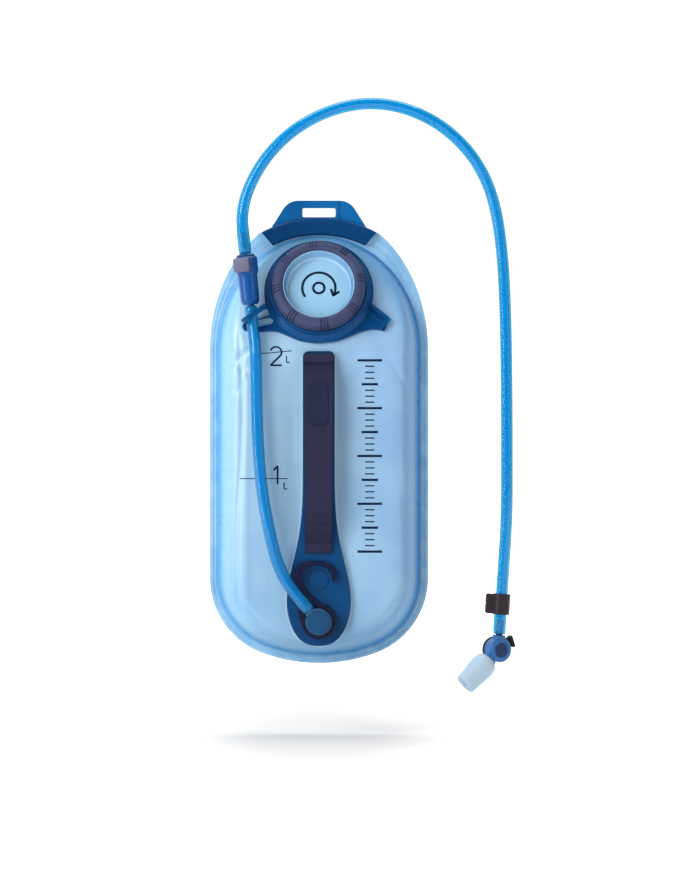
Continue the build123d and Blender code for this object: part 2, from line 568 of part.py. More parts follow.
# ---------------------------------------------------------------- inline coupling, along its own axis
def coupler_socket():
    """Female half, on the bag's side. Holds the latch, the plug and the check valve."""
    seat_top, seat_low, floor = -20.0, -20.0 - 1.5, -34.0
    outside = turned([(0, 0), (HEAD_RADIUS - 1.0, 0), (HEAD_RADIUS, -1.2), (HEAD_RADIUS, -HEAD_LENGTH + 1),
                      (BARREL_RADIUS, -HEAD_LENGTH - 2), (BARREL_RADIUS - 0.4, -SOCKET_LENGTH + 3),
                      (BARREL_RADIUS - 2.2, -SOCKET_LENGTH), (0, -SOCKET_LENGTH)])
    body = outside + Pos(0, 0, -SOCKET_LENGTH + 0.5) * Rot(180, 0, 0) * barb(0, SOCKET_BARB_LENGTH + 0.5, 0)
    body -= Pos(HEAD_FLAT + 5, 0, -6.6) * Box(10, 30, 13.4)
    body -= tube(SOCKET_BORE, 0, seat_top, 1)
    body -= tube(3.1, 0, seat_low - 1, seat_top + 1)
    body -= tube(4.6, 0, floor, seat_low)
    body -= tube(BARB_BORE, 0, -SOCKET_LENGTH - 30, floor + 1)
    slot = Rectangle(30, 13.4) & (Circle(8.3) + Pos(10, 0) * Rectangle(20, 30))
    latch_slot = Pos(0, 0, -6.9) * extrude(slot, 0.7, both=True)
    spring_pocket = Pos(0, 0, -10.4) * Rot(0, 90, 0) * tube(2.2, 0, 6.2, 12)
    return COUPLING * (body - latch_slot - spring_pocket)


def coupler_plug():
    """Male half, on the hose's side, with a ramped latch groove and a seal groove."""
    top = 2.0
    shank = turned([(BARB_BORE, -19.8), (4.3, -19.8), (PLUG_RADIUS, -18.8), (PLUG_RADIUS, -17.4),
                    (3.7, -17.4), (3.7, -15.6), (PLUG_RADIUS, -15.6), (PLUG_RADIUS, -9.9),
                    (PLUG_GROOVE + 0.05, -7.75), (PLUG_GROOVE, -7.7), (PLUG_GROOVE, -6.1),
                    (PLUG_RADIUS, -6.1), (PLUG_RADIUS, 0.1), (7.4, 0.1), (7.4, 1.3), (6.6, top),
                    (BARB_BORE, top)])
    return COUPLING * (shank + barb(top - 0.2, BARB_LENGTH))


def plug_o_ring():
    return COUPLING * o_ring(3.74, 4.96, -16.5)


def latch_button():
    """Thumb button and latch plate in one piece. The plate's far edge sits in the plug's groove."""
    plate = Pos(1.55, 0, -6.9) * (Rectangle(16.7, 12.6) & Circle(7.7))
    plate = extrude(plate, 0.55, both=True)
    neck = Pos(10.2, 0, -6.9) * Box(5.0, 9.0, 1.1)
    pad = Pos(PAD_FACE + 1.3, 0, -6.6) * Box(2.6, 13.6, 11.6)
    pad = fillet(pad.edges().filter_by(Axis.X), 2.2)
    pad = fillet(pad.edges().group_by(Axis.X)[-1], 0.9)
    hole = Pos(1.55, 0, -6.9) * tube(5.55, 0, -2, 2)
    return COUPLING * (plate + neck + pad - hole)


def latch_spring():
    coil = spring(1.7, 0.25, 6.25, PAD_FACE - 0.05, 4)
    return COUPLING * Pos(0, 0, -10.4) * Rot(0, 90, 0) * coil


def check_poppet():
    """Poppet that the plug holds open. It closes the socket when the plug leaves."""
    head_top = -21.5 - POPPET_GAP
    head = turned([(0, head_top), (3.3, head_top), (3.9, head_top - 0.7), (3.9, head_top - 2),
                   (0, head_top - 2)])
    vanes = Box(5.8, 0.9, 5.65) + Box(0.9, 5.8, 5.65)
    return COUPLING * (head + Pos(0, 0, head_top + 5.65 / 2) * vanes)


def poppet_spring():
    low, high = -33.95, -21.5 - POPPET_GAP - 2.05
    return COUPLING * spring(3.1, 0.3, low, high, 4)


# ---------------------------------------------------------------- hose clip and bite valve
def hose_clip():
    """Sleeve that slides on the hose, with a block on its left side for a magnetic strap dock."""
    sleeve = fillet(tube(7.2, 0, -CLIP_LENGTH / 2, CLIP_LENGTH / 2).edges(), 0.8)
    block = Pos(8.6, 0, 0) * Box(8.6, 9.6, CLIP_LENGTH - 1)
    block = fillet(block.edges().group_by(Axis.X)[-1], 1.6)
    body = sleeve + block - tube(HOSE_RADIUS + RUN, 0, -20, 20)
    body -= Pos(11.6, 0, 0) * Rot(0, 90, 0) * tube(4.05, 0, 0, 6)
    groove = Pos(7.4, 0, 0) * (Box(1.2, 12, CLIP_LENGTH + 2) - Box(1.2, 7.8, CLIP_LENGTH + 2))
    return CLIP * (body - groove)


def clip_magnet():
    disc = Rot(0, 90, 0) * fillet(tube(4.0, 0, 11.65, 13.3).edges().group_by(Axis.Z)[-1], 0.3)
    return CLIP * disc


def valve_stem():
    """Barb held in the hose. Its round foot turns in the valve's socket."""
    stem = turned([(BARB_BORE, 7.6), (3.6, 7.6), (3.6, 8.3), (2.9, 8.3), (2.9, 9.6), (3.6, 9.6), (3.6, 10.0),
                   (4.4, 10.0), (4.4, 10.9), (3.6, 10.9), (3.6, 11.9), (5.2, 11.95), (5.2, 12.1),
                   (BARB_BORE, 12.1)])
    return VALVE * (stem + barb(12.0, VALVE_BARB_LENGTH))


def stem_o_ring():
    return VALVE * o_ring(2.92, 3.65, 8.95)


def nose_plane():
    """Plane at the valve's centre whose normal runs out along the mouthpiece."""
    turn = radians(NOSE_ANGLE)
    return VALVE * Plane(origin=(0, 0, 0), x_dir=(0, 1, 0), z_dir=(sin(turn), 0, -cos(turn)))


def valve_axis():
    """Plane at the valve's centre: its normal runs out through the front disc and its y up the hose."""
    return VALVE * Plane(origin=(0, 0, 0), x_dir=(-1, 0, 0), z_dir=(0, 1, 0))


def valve_housing():
    """Drum with the rotor's bore, a socket for the stem on top and a nozzle for the mouthpiece."""
    drum = tube(VALVE_RADIUS, 0, -VALVE_HALF, VALVE_HALF)
    drum = fillet(drum.edges().group_by(Axis.Z)[-1], 1.6)
    neck = turned([(0, 4), (5.4, 4), (5.4, 11.2), (4.9, 11.85), (0, 11.85)])
    nozzle = turned([(0, 4), (5.2, 4), (5.2, 10.9), (6.6, 11.0), (6.6, 12.0), (5.6, 12.2), (5.6, 14.4),
                     (7.1, 16.0), (7.1, 20.8), (6.4, 22.4), (0, 22.4)])
    body = valve_axis() * drum + VALVE * neck + nose_plane() * nozzle
    body -= valve_axis() * tube(ROTOR_RADIUS + RUN, 0, -VALVE_HALF - 1, VALVE_HALF - 1.6)
    body -= valve_axis() * tube(ROTOR_RADIUS - 0.6 + RUN, 0, 0, VALVE_HALF + 1)
    body -= VALVE * tube(BARB_BORE, 0, 0, 9)
    body -= VALVE * tube(3.66, 0, 7.5, 13)
    body -= VALVE * tube(4.46, 0, 9.95, 10.95)
    return body - nose_plane() * tube(BARB_BORE, 0, 0, 40)


def shutoff_rotor():
    """Barrel plug with a bent passage. It is shut at rest and open after a quarter turn."""
    low, high = -VALVE_HALF - 1.0, VALVE_HALF - 1.7
    barrel = tube(ROTOR_RADIUS, 0, low, high) + tube(ROTOR_RADIUS - 0.6, 0, low, VALVE_HALF + 0.3)
    for height in SEAL_HEIGHTS:
        barrel -= tube(ROTOR_RADIUS + 1, 5.6, height - 0.55, height + 0.55)
    for open_angle in (90, 270 - NOSE_ANGLE):
        barrel -= Rot(0, 0, open_angle + 90) * Rot(0, 90, 0) * tube(BARB_BORE, 0, 0, 8)
    return valve_axis() * barrel


def rotor_seals():
    """The rotor's two seal rings."""
    rings = [valve_axis() * o_ring(5.62, ROTOR_RADIUS + RUN - 0.01, height) for height in SEAL_HEIGHTS]
    return Compound(children=rings)


def shutoff_lever():
    """Lever disc on the back of the valve, keyed to the rotor, with a thumb tab to the right of the hose."""
    front = -VALVE_HALF - 0.2
    back = front - LEVER_THICK
    arm = Pos(13.2, 0, (back + front) / 2) * Box(10.4, 8.6, LEVER_THICK)
    thumb = Pos(17.6, 0, (back + front) / 2 + 0.8) * Box(2.6, 10.0, LEVER_THICK + 1.6)
    tab = Rot(0, 0, LEVER_ANGLE) * (arm + fillet(thumb.edges().filter_by(Axis.Z), 0.9))
    disc = tube(LEVER_RADIUS, 0, back, front)
    disc = fillet(disc.edges().group_by(Axis.Z)[0], 0.9)
    return valve_axis() * (disc + tab - tube(ROTOR_RADIUS + 0.02, 0, -VALVE_HALF - 1.02, 0))


def bite_sleeve():
    """Soft mouthpiece that slips over the nozzle. A slit in its end opens when it is bitten."""
    outside = [(5.66, 12.3), (7.4, 12.3), (9.2, 14.4), (10.2, 18.5), (10.3, 22.5), (9.7, 29), (8.9, 35),
               (8.7, 40.6), (8.2, 41.8), (0, 41.8)]
    inside = [(0, 39.8), (6.4, 39.6), (7.2, 34), (7.3, 23), (7.16, 20.9), (7.16, 16.0), (5.66, 14.4)]
    sleeve = turned(outside + inside)
    slit = Pos(0, 0, 40.8) * Box(7.5, 0.25, 4)
    return nose_plane() * (sleeve - slit)


PARTS = (front_panel, back_panel, baffle_web, back_plate, hanger, collar, cap_ring, cap_lens, cap_gasket,
         spine_plate, handle_strap, grip_pad, drying_hook, port_socket, port_elbow, elbow_cover,
         elbow_o_ring, elbow_retainer, lower_hose, upper_hose, coupler_socket, coupler_plug, plug_o_ring,
         latch_button, latch_spring, check_poppet, poppet_spring, hose_clip, clip_magnet, valve_stem,
         stem_o_ring, valve_housing, shutoff_rotor, rotor_seals, shutoff_lever, bite_sleeve)

for make in PARTS:
    export_step(make(), f"parts/{make.__name__}.step")
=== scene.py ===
import json
from math import cos, pi, radians, sin, sqrt

import bmesh
import bpy
import numpy as np
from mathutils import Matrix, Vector
from mathutils.bvhtree import BVHTree

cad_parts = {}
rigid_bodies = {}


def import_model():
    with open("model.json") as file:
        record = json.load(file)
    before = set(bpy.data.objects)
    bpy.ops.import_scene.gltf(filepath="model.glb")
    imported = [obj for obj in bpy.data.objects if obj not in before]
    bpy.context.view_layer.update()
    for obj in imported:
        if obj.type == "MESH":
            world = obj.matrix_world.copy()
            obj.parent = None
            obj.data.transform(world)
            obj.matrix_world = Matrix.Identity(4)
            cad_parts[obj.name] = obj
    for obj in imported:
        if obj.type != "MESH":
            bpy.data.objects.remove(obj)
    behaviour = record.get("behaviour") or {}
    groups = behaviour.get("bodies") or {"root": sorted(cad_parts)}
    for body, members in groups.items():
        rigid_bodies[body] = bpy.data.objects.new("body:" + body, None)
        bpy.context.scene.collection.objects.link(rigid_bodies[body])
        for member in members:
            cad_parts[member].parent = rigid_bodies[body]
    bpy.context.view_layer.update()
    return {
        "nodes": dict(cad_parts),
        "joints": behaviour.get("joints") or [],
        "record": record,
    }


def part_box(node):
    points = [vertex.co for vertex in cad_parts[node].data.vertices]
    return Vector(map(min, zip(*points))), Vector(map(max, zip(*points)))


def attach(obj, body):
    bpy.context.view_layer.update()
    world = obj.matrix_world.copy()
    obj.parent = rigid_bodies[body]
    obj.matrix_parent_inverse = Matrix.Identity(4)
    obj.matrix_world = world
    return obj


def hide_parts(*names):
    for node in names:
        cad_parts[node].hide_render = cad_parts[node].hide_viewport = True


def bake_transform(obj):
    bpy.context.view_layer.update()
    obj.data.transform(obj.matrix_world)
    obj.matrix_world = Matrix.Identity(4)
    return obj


for leftover in list(bpy.data.objects):
    bpy.data.objects.remove(leftover)

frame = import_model()
nodes = frame["nodes"]
joints = {joint["name"]: joint for joint in frame["joints"]}

# Everything is in metres, in the frame of the CAD model: +Z up, the front of the bag faces -Y.
MM = 0.001

# ------------------------------------------------------------------ sizes taken from the frame
film_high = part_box("front_panel")[1]
HALF_WIDTH = film_high.x                      # over the welded rim
RIM_TOP = film_high.z
FRONT_DEPTH = -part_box("spine_plate")[1].y     # the film lies against the plate's back
BACK_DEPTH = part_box("back_panel")[1].y
CAP_CENTRE = Vector(joints["cap_twist"]["pos_m"])
CAP_AXIS = Vector(joints["cap_twist"]["axis"]).normalized()
PORT_CENTRE = Vector(joints["elbow_swivel"]["pos_m"])
COUPLING_TOP = Vector(joints["hose_swivel"]["pos_m"])
COUPLING_AXIS = Vector(joints["hose_swivel"]["axis"]).normalized()
VALVE_CENTRE = Vector(joints["shutoff_turn"]["pos_m"])
HOSE_UP = Vector(joints["valve_swivel"]["axis"]).normalized()
DISC_AXIS = -Vector(joints["shutoff_turn"]["axis"]).normalized()

# ------------------------------------------------------------------ shape of the film
SIDE_TOP = -0.1125          # the straight sides run between these two heights
SIDE_LOW = -0.2994
CROWN_RISE = 0.1144
CORNER_RADIUS = 0.0656
BOTTOM_RADIUS = 0.1353
RIM_TOP_RADIUS = 0.126
RIM = 0.007                 # welded rim outside the filled pocket
POCKET_CROWN_RISE = 0.093
SLOPE_START = -0.114        # above this height the front leans back towards the crown
SLOPE = radians(20)
FILM = 0.0006
MOUTH_HOLE = 0.0305
PORT_HOLE = 0.0100


def smooth(edge_low, edge_high, value):
    """0 below edge_low, 1 above edge_high and an S-curve between them."""
    t = np.clip((value - edge_low) / (edge_high - edge_low), 0, 1)
    return t * t * (3 - 2 * t)


def hill(value, centre, width):
    return np.exp(-((value - centre) / width) ** 2)


def soft_min(a, b, k):
    """The smaller of a and b with the corner between them rounded over k."""
    h = np.clip(0.5 + 0.5 * (b - a) / k, 0, 1)
    return b + (a - b) * h - k * h * (1 - h)


def outline_radius(x0, z0, dx, dz, inset, crown_rise, trim_top):
    """Distance along a ray from (x0, z0) to the bag's outline moved in by inset."""
    side = HALF_WIDTH - inset
    corner, bottom = CORNER_RADIUS - inset, BOTTOM_RADIUS - inset
    corner_x = side - corner
    lift = sqrt((BOTTOM_RADIUS - CORNER_RADIUS) ** 2 - corner_x ** 2)

    def inside(r):
        x, z = np.abs(x0 + dx * r), z0 + dz * r
        crown = (x / side) ** 2 + ((z - SIDE_TOP) / crown_rise) ** 2 < 1
        if trim_top:
            trim_centre = RIM_TOP - RIM_TOP_RADIUS
            crown &= (x ** 2 + (z - trim_centre) ** 2 < RIM_TOP_RADIUS ** 2) | (z < SIDE_TOP + 0.02)
        below = z - SIDE_LOW
        in_base = x * lift < corner_x * (lift - below)
        base = x ** 2 + (below - lift) ** 2 < bottom ** 2
        round_corner = (x - corner_x) ** 2 + below ** 2 < corner ** 2
        low = np.where(in_base, base, round_corner)
        return np.where(z > SIDE_TOP, crown, np.where(below > 0, x < side, low))

    near, far = np.zeros_like(dx), np.full_like(dx, 0.2)
    for _ in range(40):
        middle = (near + far) / 2
        hit = inside(middle)
        near, far = np.where(hit, middle, near), np.where(hit, far, middle)
    return near


def film_rays(count_side, count_crown, count_bottom):
    """Rays from the bag's centre line out to its rim, once round: (x0, z0, dx, dz)."""
    low = SIDE_LOW + 0.012
    rows = []
    for i in range(count_side):
        rows.append((0, low + (SIDE_TOP - low) * i / count_side, 1, 0))
    for i in range(count_crown):
        turn = pi * i / count_crown
        rows.append((0, SIDE_TOP, cos(turn), sin(turn)))
    for i in range(count_side):
        rows.append((0, SIDE_TOP + (low - SIDE_TOP) * i / count_side, -1, 0))
    for i in range(count_bottom):
        turn = pi + pi * i / count_bottom
        rows.append((0, low, cos(turn), sin(turn)))
    return np.array(rows, float).T


def plate_outline():
    """Right half of the spine plate's outline as (x, z) points from bottom to top, read off its CAD mesh."""
    low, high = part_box("spine_plate")
    co = np.array([v.co for v in nodes["spine_plate"].data.vertices])
    back = co[(co[:, 1] > high.y - 0.0002) & (co[:, 0] > 0.001)][:, [0, 2]]
    outer = [p for p in back if p[0] >= back[np.abs(back[:, 1] - p[1]) < 0.0012, 0].max() - 1e-5]
    line = sorted({(round(float(x), 6), round(float(z), 6)) for x, z in outer}, key=lambda p: p[1])
    return np.array([(0.0, low.z)] + line + [(0.0, high.z)])


PLATE = plate_outline()


def beside_plate(x, z):
    """Distance outside the spine plate's edge, negative under the plate."""
    across, height = np.abs(x), z
    nearest = np.full(np.shape(x), 1.0)
    for (ax, az), (bx, bz) in zip(PLATE, PLATE[1:]):
        run = max((bx - ax) ** 2 + (bz - az) ** 2, 1e-12)
        t = np.clip(((across - ax) * (bx - ax) + (height - az) * (bz - az)) / run, 0, 1)
        nearest = np.minimum(nearest, np.hypot(across - ax - t * (bx - ax), height - az - t * (bz - az)))
    covered = across < np.interp(height, PLATE[:, 1], PLATE[:, 0], left=-1, right=-1)
    return np.where(covered, -nearest, nearest)


def puckers(around, inward, seed):
    """Fine gathers that run in from the weld and fade over a few centimetres."""
    rng = np.random.default_rng(seed)
    total = np.zeros_like(around)
    for _ in range(9):
        pitch = rng.uniform(0.014, 0.055)
        phase = rng.uniform(0, 2 * pi)
        place = rng.uniform(0.2, 1.0) * np.sin(around / rng.uniform(0.05, 0.12) + phase)
        total += place * np.sin(2 * pi * around / pitch + phase + inward / 0.02)
    return total / 9 * np.exp(-inward / 0.013) * smooth(0, 0.004, inward)


# creases in the film: x and z of the middle, turn from the x axis in degrees, half length, depth
FRONT_CREASES = (
    (-0.063, -0.118, 40, 0.016, 0.0016),
    (-0.060, -0.130, -35, 0.014, 0.0014),
    (-0.066, -0.146, 50, 0.012, 0.0010),
    (0.069, -0.140, -60, 0.022, 0.0009),
    (0.060, -0.322, 50, 0.020, 0.0012),
    (-0.056, -0.325, -48, 0.020, 0.0012),
    (0.070, -0.250, -84, 0.034, 0.0007),
    (0.020, -0.358, 8, 0.018, 0.0007),
)
BACK_CREASES = (
    (0.055, -0.12, 52, 0.022, 0.0010),
    (-0.052, -0.31, 55, 0.024, 0.0010),
    (0.058, -0.30, -50, 0.020, 0.0009),
    (-0.060, -0.14, -60, 0.024, 0.0008),
)


def creased(height, x, z, inward, creases, width):
    """Height with short straight creases pressed in, fading at the weld."""
    for centre_x, centre_z, turn, length, deep in creases:
        a = radians(turn)
        along = (x - centre_x) * cos(a) + (z - centre_z) * sin(a)
        across = (z - centre_z) * cos(a) - (x - centre_x) * sin(a)
        fade = smooth(0.0, 0.010, inward)
        height = height - deep * np.exp(-(along / length) ** 2 - (across / width) ** 2) * fade
    return height


def front_height(x, z, inward, around):
    """How far the front film stands in front of the weld plane."""
    wall = FRONT_DEPTH * (1 - (1 - np.clip(inward / 0.023, 0, 1)) ** 2.5)
    slope = FRONT_DEPTH - np.maximum(z - SLOPE_START, 0) * np.tan(SLOPE)
    lobes = 0.0030 * hill(np.abs(x), 0.046, 0.020) * smooth(-0.345, -0.28, z) * (1 - smooth(-0.15, -0.105, z))
    belly = 0.0016 * hill(np.abs(x), 0.040, 0.026) * hill(z, -0.285, 0.05)
    valley = 0.0012 * hill(np.abs(x), 0.021, 0.007) * smooth(-0.31, -0.27, z) * (1 - smooth(-0.14, -0.115, z))
    face = slope + lobes + belly - valley
    height = soft_min(wall, face, 0.010)
    flat = 1 - smooth(0.0, 0.010, beside_plate(x, z))
    height = height * (1 - flat) + np.minimum(height, FRONT_DEPTH - 0.0002) * flat
    # a long soft fold down the left side, and crossed wrinkles at the left shoulder
    height -= 0.0013 * hill(x, -0.0645 + 0.0025 * np.sin(z / 0.035), 0.0022) * smooth(-0.35, -0.31, z) * \
        (1 - smooth(-0.125, -0.09, z))
    height += 0.0007 * hill(x, -0.0590, 0.0030) * smooth(-0.34, -0.30, z) * (1 - smooth(-0.15, -0.11, z))
    height = creased(height, x, z, inward, FRONT_CREASES, 0.0026)
    height += 0.0014 * puckers(around, inward, 3) * smooth(0, 0.006, inward)
    # the moulded collar is welded flat to the film
    point = np.stack([x, -slope, z], -1)
    from_cap = np.linalg.norm(point - np.array(CAP_CENTRE), axis=-1)
    under = 1 - smooth(0.043, 0.060, from_cap)
    height = height * (1 - under) + np.minimum(height, slope - 0.0002) * under
    return np.maximum(height, 0.0)


def back_height(x, z, inward, around):
    """How far the rear film stands behind the weld plane."""
    wall = BACK_DEPTH * (1 - (1 - np.clip(inward / 0.024, 0, 1)) ** 2.3)
    lobes = 0.0012 * hill(np.abs(x), 0.036, 0.018) * smooth(-0.33, -0.28, z) * (1 - smooth(-0.14, -0.10, z))
    height = soft_min(wall, BACK_DEPTH - 0.0002 + lobes, 0.006)
    seam = hill(x, 0, 0.0028) * smooth(-0.275, -0.268, z) * (1 - smooth(-0.128, -0.118, z))
    height -= 0.0012 * seam
    height = creased(height, x, z, inward, BACK_CREASES, 0.0030)
    height += 0.0010 * puckers(around, inward, 8) * smooth(0, 0.006, inward)
    return np.maximum(height, 0.0)


RAYS = film_rays(130, 190, 150)
RIM_REACH = outline_radius(*RAYS, 0.0, CROWN_RISE, True)
FOOT_REACH = outline_radius(*RAYS, RIM, POCKET_CROWN_RISE, False)


def mesh_object(name, vertices, faces, body):
    """A smooth-shaded piece that rides on a body."""
    mesh = bpy.data.meshes.new(name)
    mesh.from_pydata([tuple(v) for v in vertices], [], [tuple(f) for f in faces])
    mesh.validate()
    bm = bmesh.new()
    bm.from_mesh(mesh)
    bmesh.ops.remove_doubles(bm, verts=bm.verts, dist=1e-6)
    bmesh.ops.recalc_face_normals(bm, faces=bm.faces)
    bm.to_mesh(mesh)
    bm.free()
    mesh.shade_smooth()
    obj = bpy.data.objects.new(name, mesh)
    bpy.context.scene.collection.objects.link(obj)
    if body:
        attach(obj, body)
    return obj


def film_grid(height_of, toward):
    """Vertices, faces and inward distances of one film: rings from the rim in to the centre line."""
    x0, z0, dx, dz = RAYS
    count = len(dx)
    points_x, points_z = x0 + dx * FOOT_REACH, z0 + dz * FOOT_REACH
    steps = np.hypot(np.roll(points_x, -1) - points_x, np.roll(points_z, -1) - points_z)
    around = np.concatenate([[0], np.cumsum(steps)[:-1]])
    shares = 1 - np.linspace(0, 1, 74) ** 1.35 * 0.985
    rings = []
    for t in (0.0, 0.04, 0.30, 0.34, 0.38, 0.66, 0.70, 0.74, 0.96):
        rings.append(RIM_REACH + (FOOT_REACH - RIM_REACH) * t)
    rings += [FOOT_REACH * share for share in shares]
    vertices, inner = [], []
    weld_line = {2: 0.0, 3: 0.00022, 4: 0.0, 5: 0.0, 6: 0.00022, 7: 0.0}
    for number, reach in enumerate(rings):
        x, z = x0 + dx * reach, z0 + dz * reach
        inward = np.maximum(FOOT_REACH - reach, 0)
        height = height_of(x, z, inward, around) if number > 8 else np.zeros(count)
        proud = height + 0.0006 + weld_line.get(number, 0)
        vertices.append(np.stack([x, toward * proud, z], -1))
        inner.append(FOOT_REACH - reach)
    vertices, inner = np.concatenate(vertices), np.concatenate(inner)
    faces = []
    for ring in range(len(rings) - 1):
        for i in range(count):
            j = (i + 1) % count
            faces.append((ring * count + i, ring * count + j, (ring + 1) * count + j, (ring + 1) * count + i))
    # close the narrow strip along the centre line
    last = (len(rings) - 1) * count
    side, crown = 130, 190
    left = side + crown
    for i in range(side):
        right_a, right_b = last + i, last + (i + 1)
        left_a, left_b = last + (left + side - i) % count, last + (left + side - i - 1) % count
        faces.append((right_a, right_b, left_b, left_a))
    faces.append([last + side + i for i in range(crown + 1)])
    bottom_start = left + side
    faces.append([last + (bottom_start + i) % count for i in range(count - bottom_start + 1)])
    return vertices, faces, inner


def drop_hole(vertices, faces, centre, axis, radius):
    """Opens a round hole in the film; its edge is moved onto the circle."""
    offset = vertices - np.array(centre)
    axis = np.array(axis)
    flat = offset - np.outer(offset @ axis, axis)
    reach = np.linalg.norm(flat, axis=1)
    near = np.abs(offset @ axis) < 0.02
    gone = (reach < radius) & near
    kept = [f for f in faces if not any(gone[i] for i in f)]
    count = {}
    for f in kept:
        for a, b in zip(f, list(f[1:]) + [f[0]]):
            key = (min(a, b), max(a, b))
            count[key] = count.get(key, 0) + 1
    edge = {i for key, n in count.items() if n == 1 for i in key}
    for i in edge:
        if near[i] and reach[i] < radius + 0.006:
            vertices[i] += flat[i] * (radius / reach[i] - 1)
    return vertices, kept


def film_panel(name, node, height_of, toward):
    vertices, faces, inner = film_grid(height_of, toward)
    if toward < 0:
        vertices, faces = drop_hole(vertices, faces, CAP_CENTRE, CAP_AXIS, MOUTH_HOLE)
        hole_at = (PORT_CENTRE.x, -FRONT_DEPTH, PORT_CENTRE.z)
        vertices, faces = drop_hole(vertices, faces, hole_at, (0, 1, 0), PORT_HOLE)
    used = sorted({i for f in faces for i in f})
    index = {old: new for new, old in enumerate(used)}
    mesh = bpy.data.meshes.new(name)
    mesh.from_pydata([tuple(vertices[i]) for i in used], [], [[index[i] for i in f] for f in faces])
    to_plate = beside_plate(vertices[used, 0], vertices[used, 2])
    for label, values in (("inward", inner[used]), ("plate", to_plate)):
        mesh.attributes.new(label, "FLOAT", "POINT").data.foreach_set("value", values.astype(np.float32))
    bm = bmesh.new()
    bm.from_mesh(mesh)
    bmesh.ops.recalc_face_normals(bm, faces=bm.faces)
    middle = max(bm.faces, key=lambda f: f.calc_area())
    if middle.normal.y * toward < 0:
        bmesh.ops.reverse_faces(bm, faces=bm.faces)
    bm.to_mesh(mesh)
    bm.free()
    mesh.shade_smooth()
    panel = bpy.data.objects.new(name, mesh)
    bpy.context.scene.collection.objects.link(panel)
    thicken = panel.modifiers.new("film", "SOLIDIFY")
    thicken.thickness = FILM
    thicken.offset = -1
    bpy.context.view_layer.objects.active = panel
    bpy.ops.object.modifier_apply(modifier=thicken.name)
    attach(panel, "bag")
    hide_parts(node)
    return panel


# ------------------------------------------------------------------ node materials
def new_material(name):
    material = bpy.data.materials.new(name)
    material.use_nodes = True
    tree = material.node_tree
    tree.nodes.clear()
    return material, tree


def link(tree, a, b):
    tree.links.new(a, b)


def node(tree, kind, **values):
    made = tree.nodes.new(kind)
    for key, value in values.items():
        if hasattr(made, key):
            setattr(made, key, value)
        else:
            made.inputs[key.replace("_", " ")].default_value = value
    return made


def noise(tree, coordinate, scale, detail=3.0, stretch=(1, 1, 1)):
    """Noise in object space; stretch squeezes it along an axis."""
    mapping = node(tree, "ShaderNodeMapping")
    mapping.inputs["Scale"].default_value = stretch
    link(tree, coordinate, mapping.inputs["Vector"])
    made = node(tree, "ShaderNodeTexNoise", Scale=scale, Detail=detail)
    link(tree, mapping.outputs["Vector"], made.inputs["Vector"])
    return made.outputs["Fac"]


def span(tree, value, low, high, out_low, out_high):
    made = node(tree, "ShaderNodeMapRange", interpolation_type="SMOOTHSTEP")
    for key, number in (("From Min", low), ("From Max", high), ("To Min", out_low), ("To Max", out_high)):
        made.inputs[key].default_value = number
    link(tree, value, made.inputs["Value"])
    return made.outputs["Result"]


def mix(tree, factor, a, b, blend="MIX"):
    """Colour mix; factor, a and b are sockets or values."""
    made = tree.nodes.new("ShaderNodeMix")
    made.data_type = "RGBA"
    made.blend_type = blend
    for socket, value in ((made.inputs[0], factor), (made.inputs[6], a), (made.inputs[7], b)):
        if isinstance(value, bpy.types.NodeSocket):
            link(tree, value, socket)
        elif isinstance(value, (tuple, list)):
            socket.default_value = (*value, 1)
        else:
            socket.default_value = value
    return made.outputs[2]


def srgb(code):
    """Linear colour from an sRGB hex code."""
    values = [int(code[i:i + 2], 16) / 255 for i in (0, 2, 4)]
    return tuple(v / 12.92 if v <= 0.04045 else ((v + 0.055) / 1.055) ** 2.4 for v in values)


def shade(colour, factor):
    return tuple(min(c * factor, 1) for c in colour)


DEPTH = 0.62        # diffuse share of a moulded colour; reflected light adds the rest


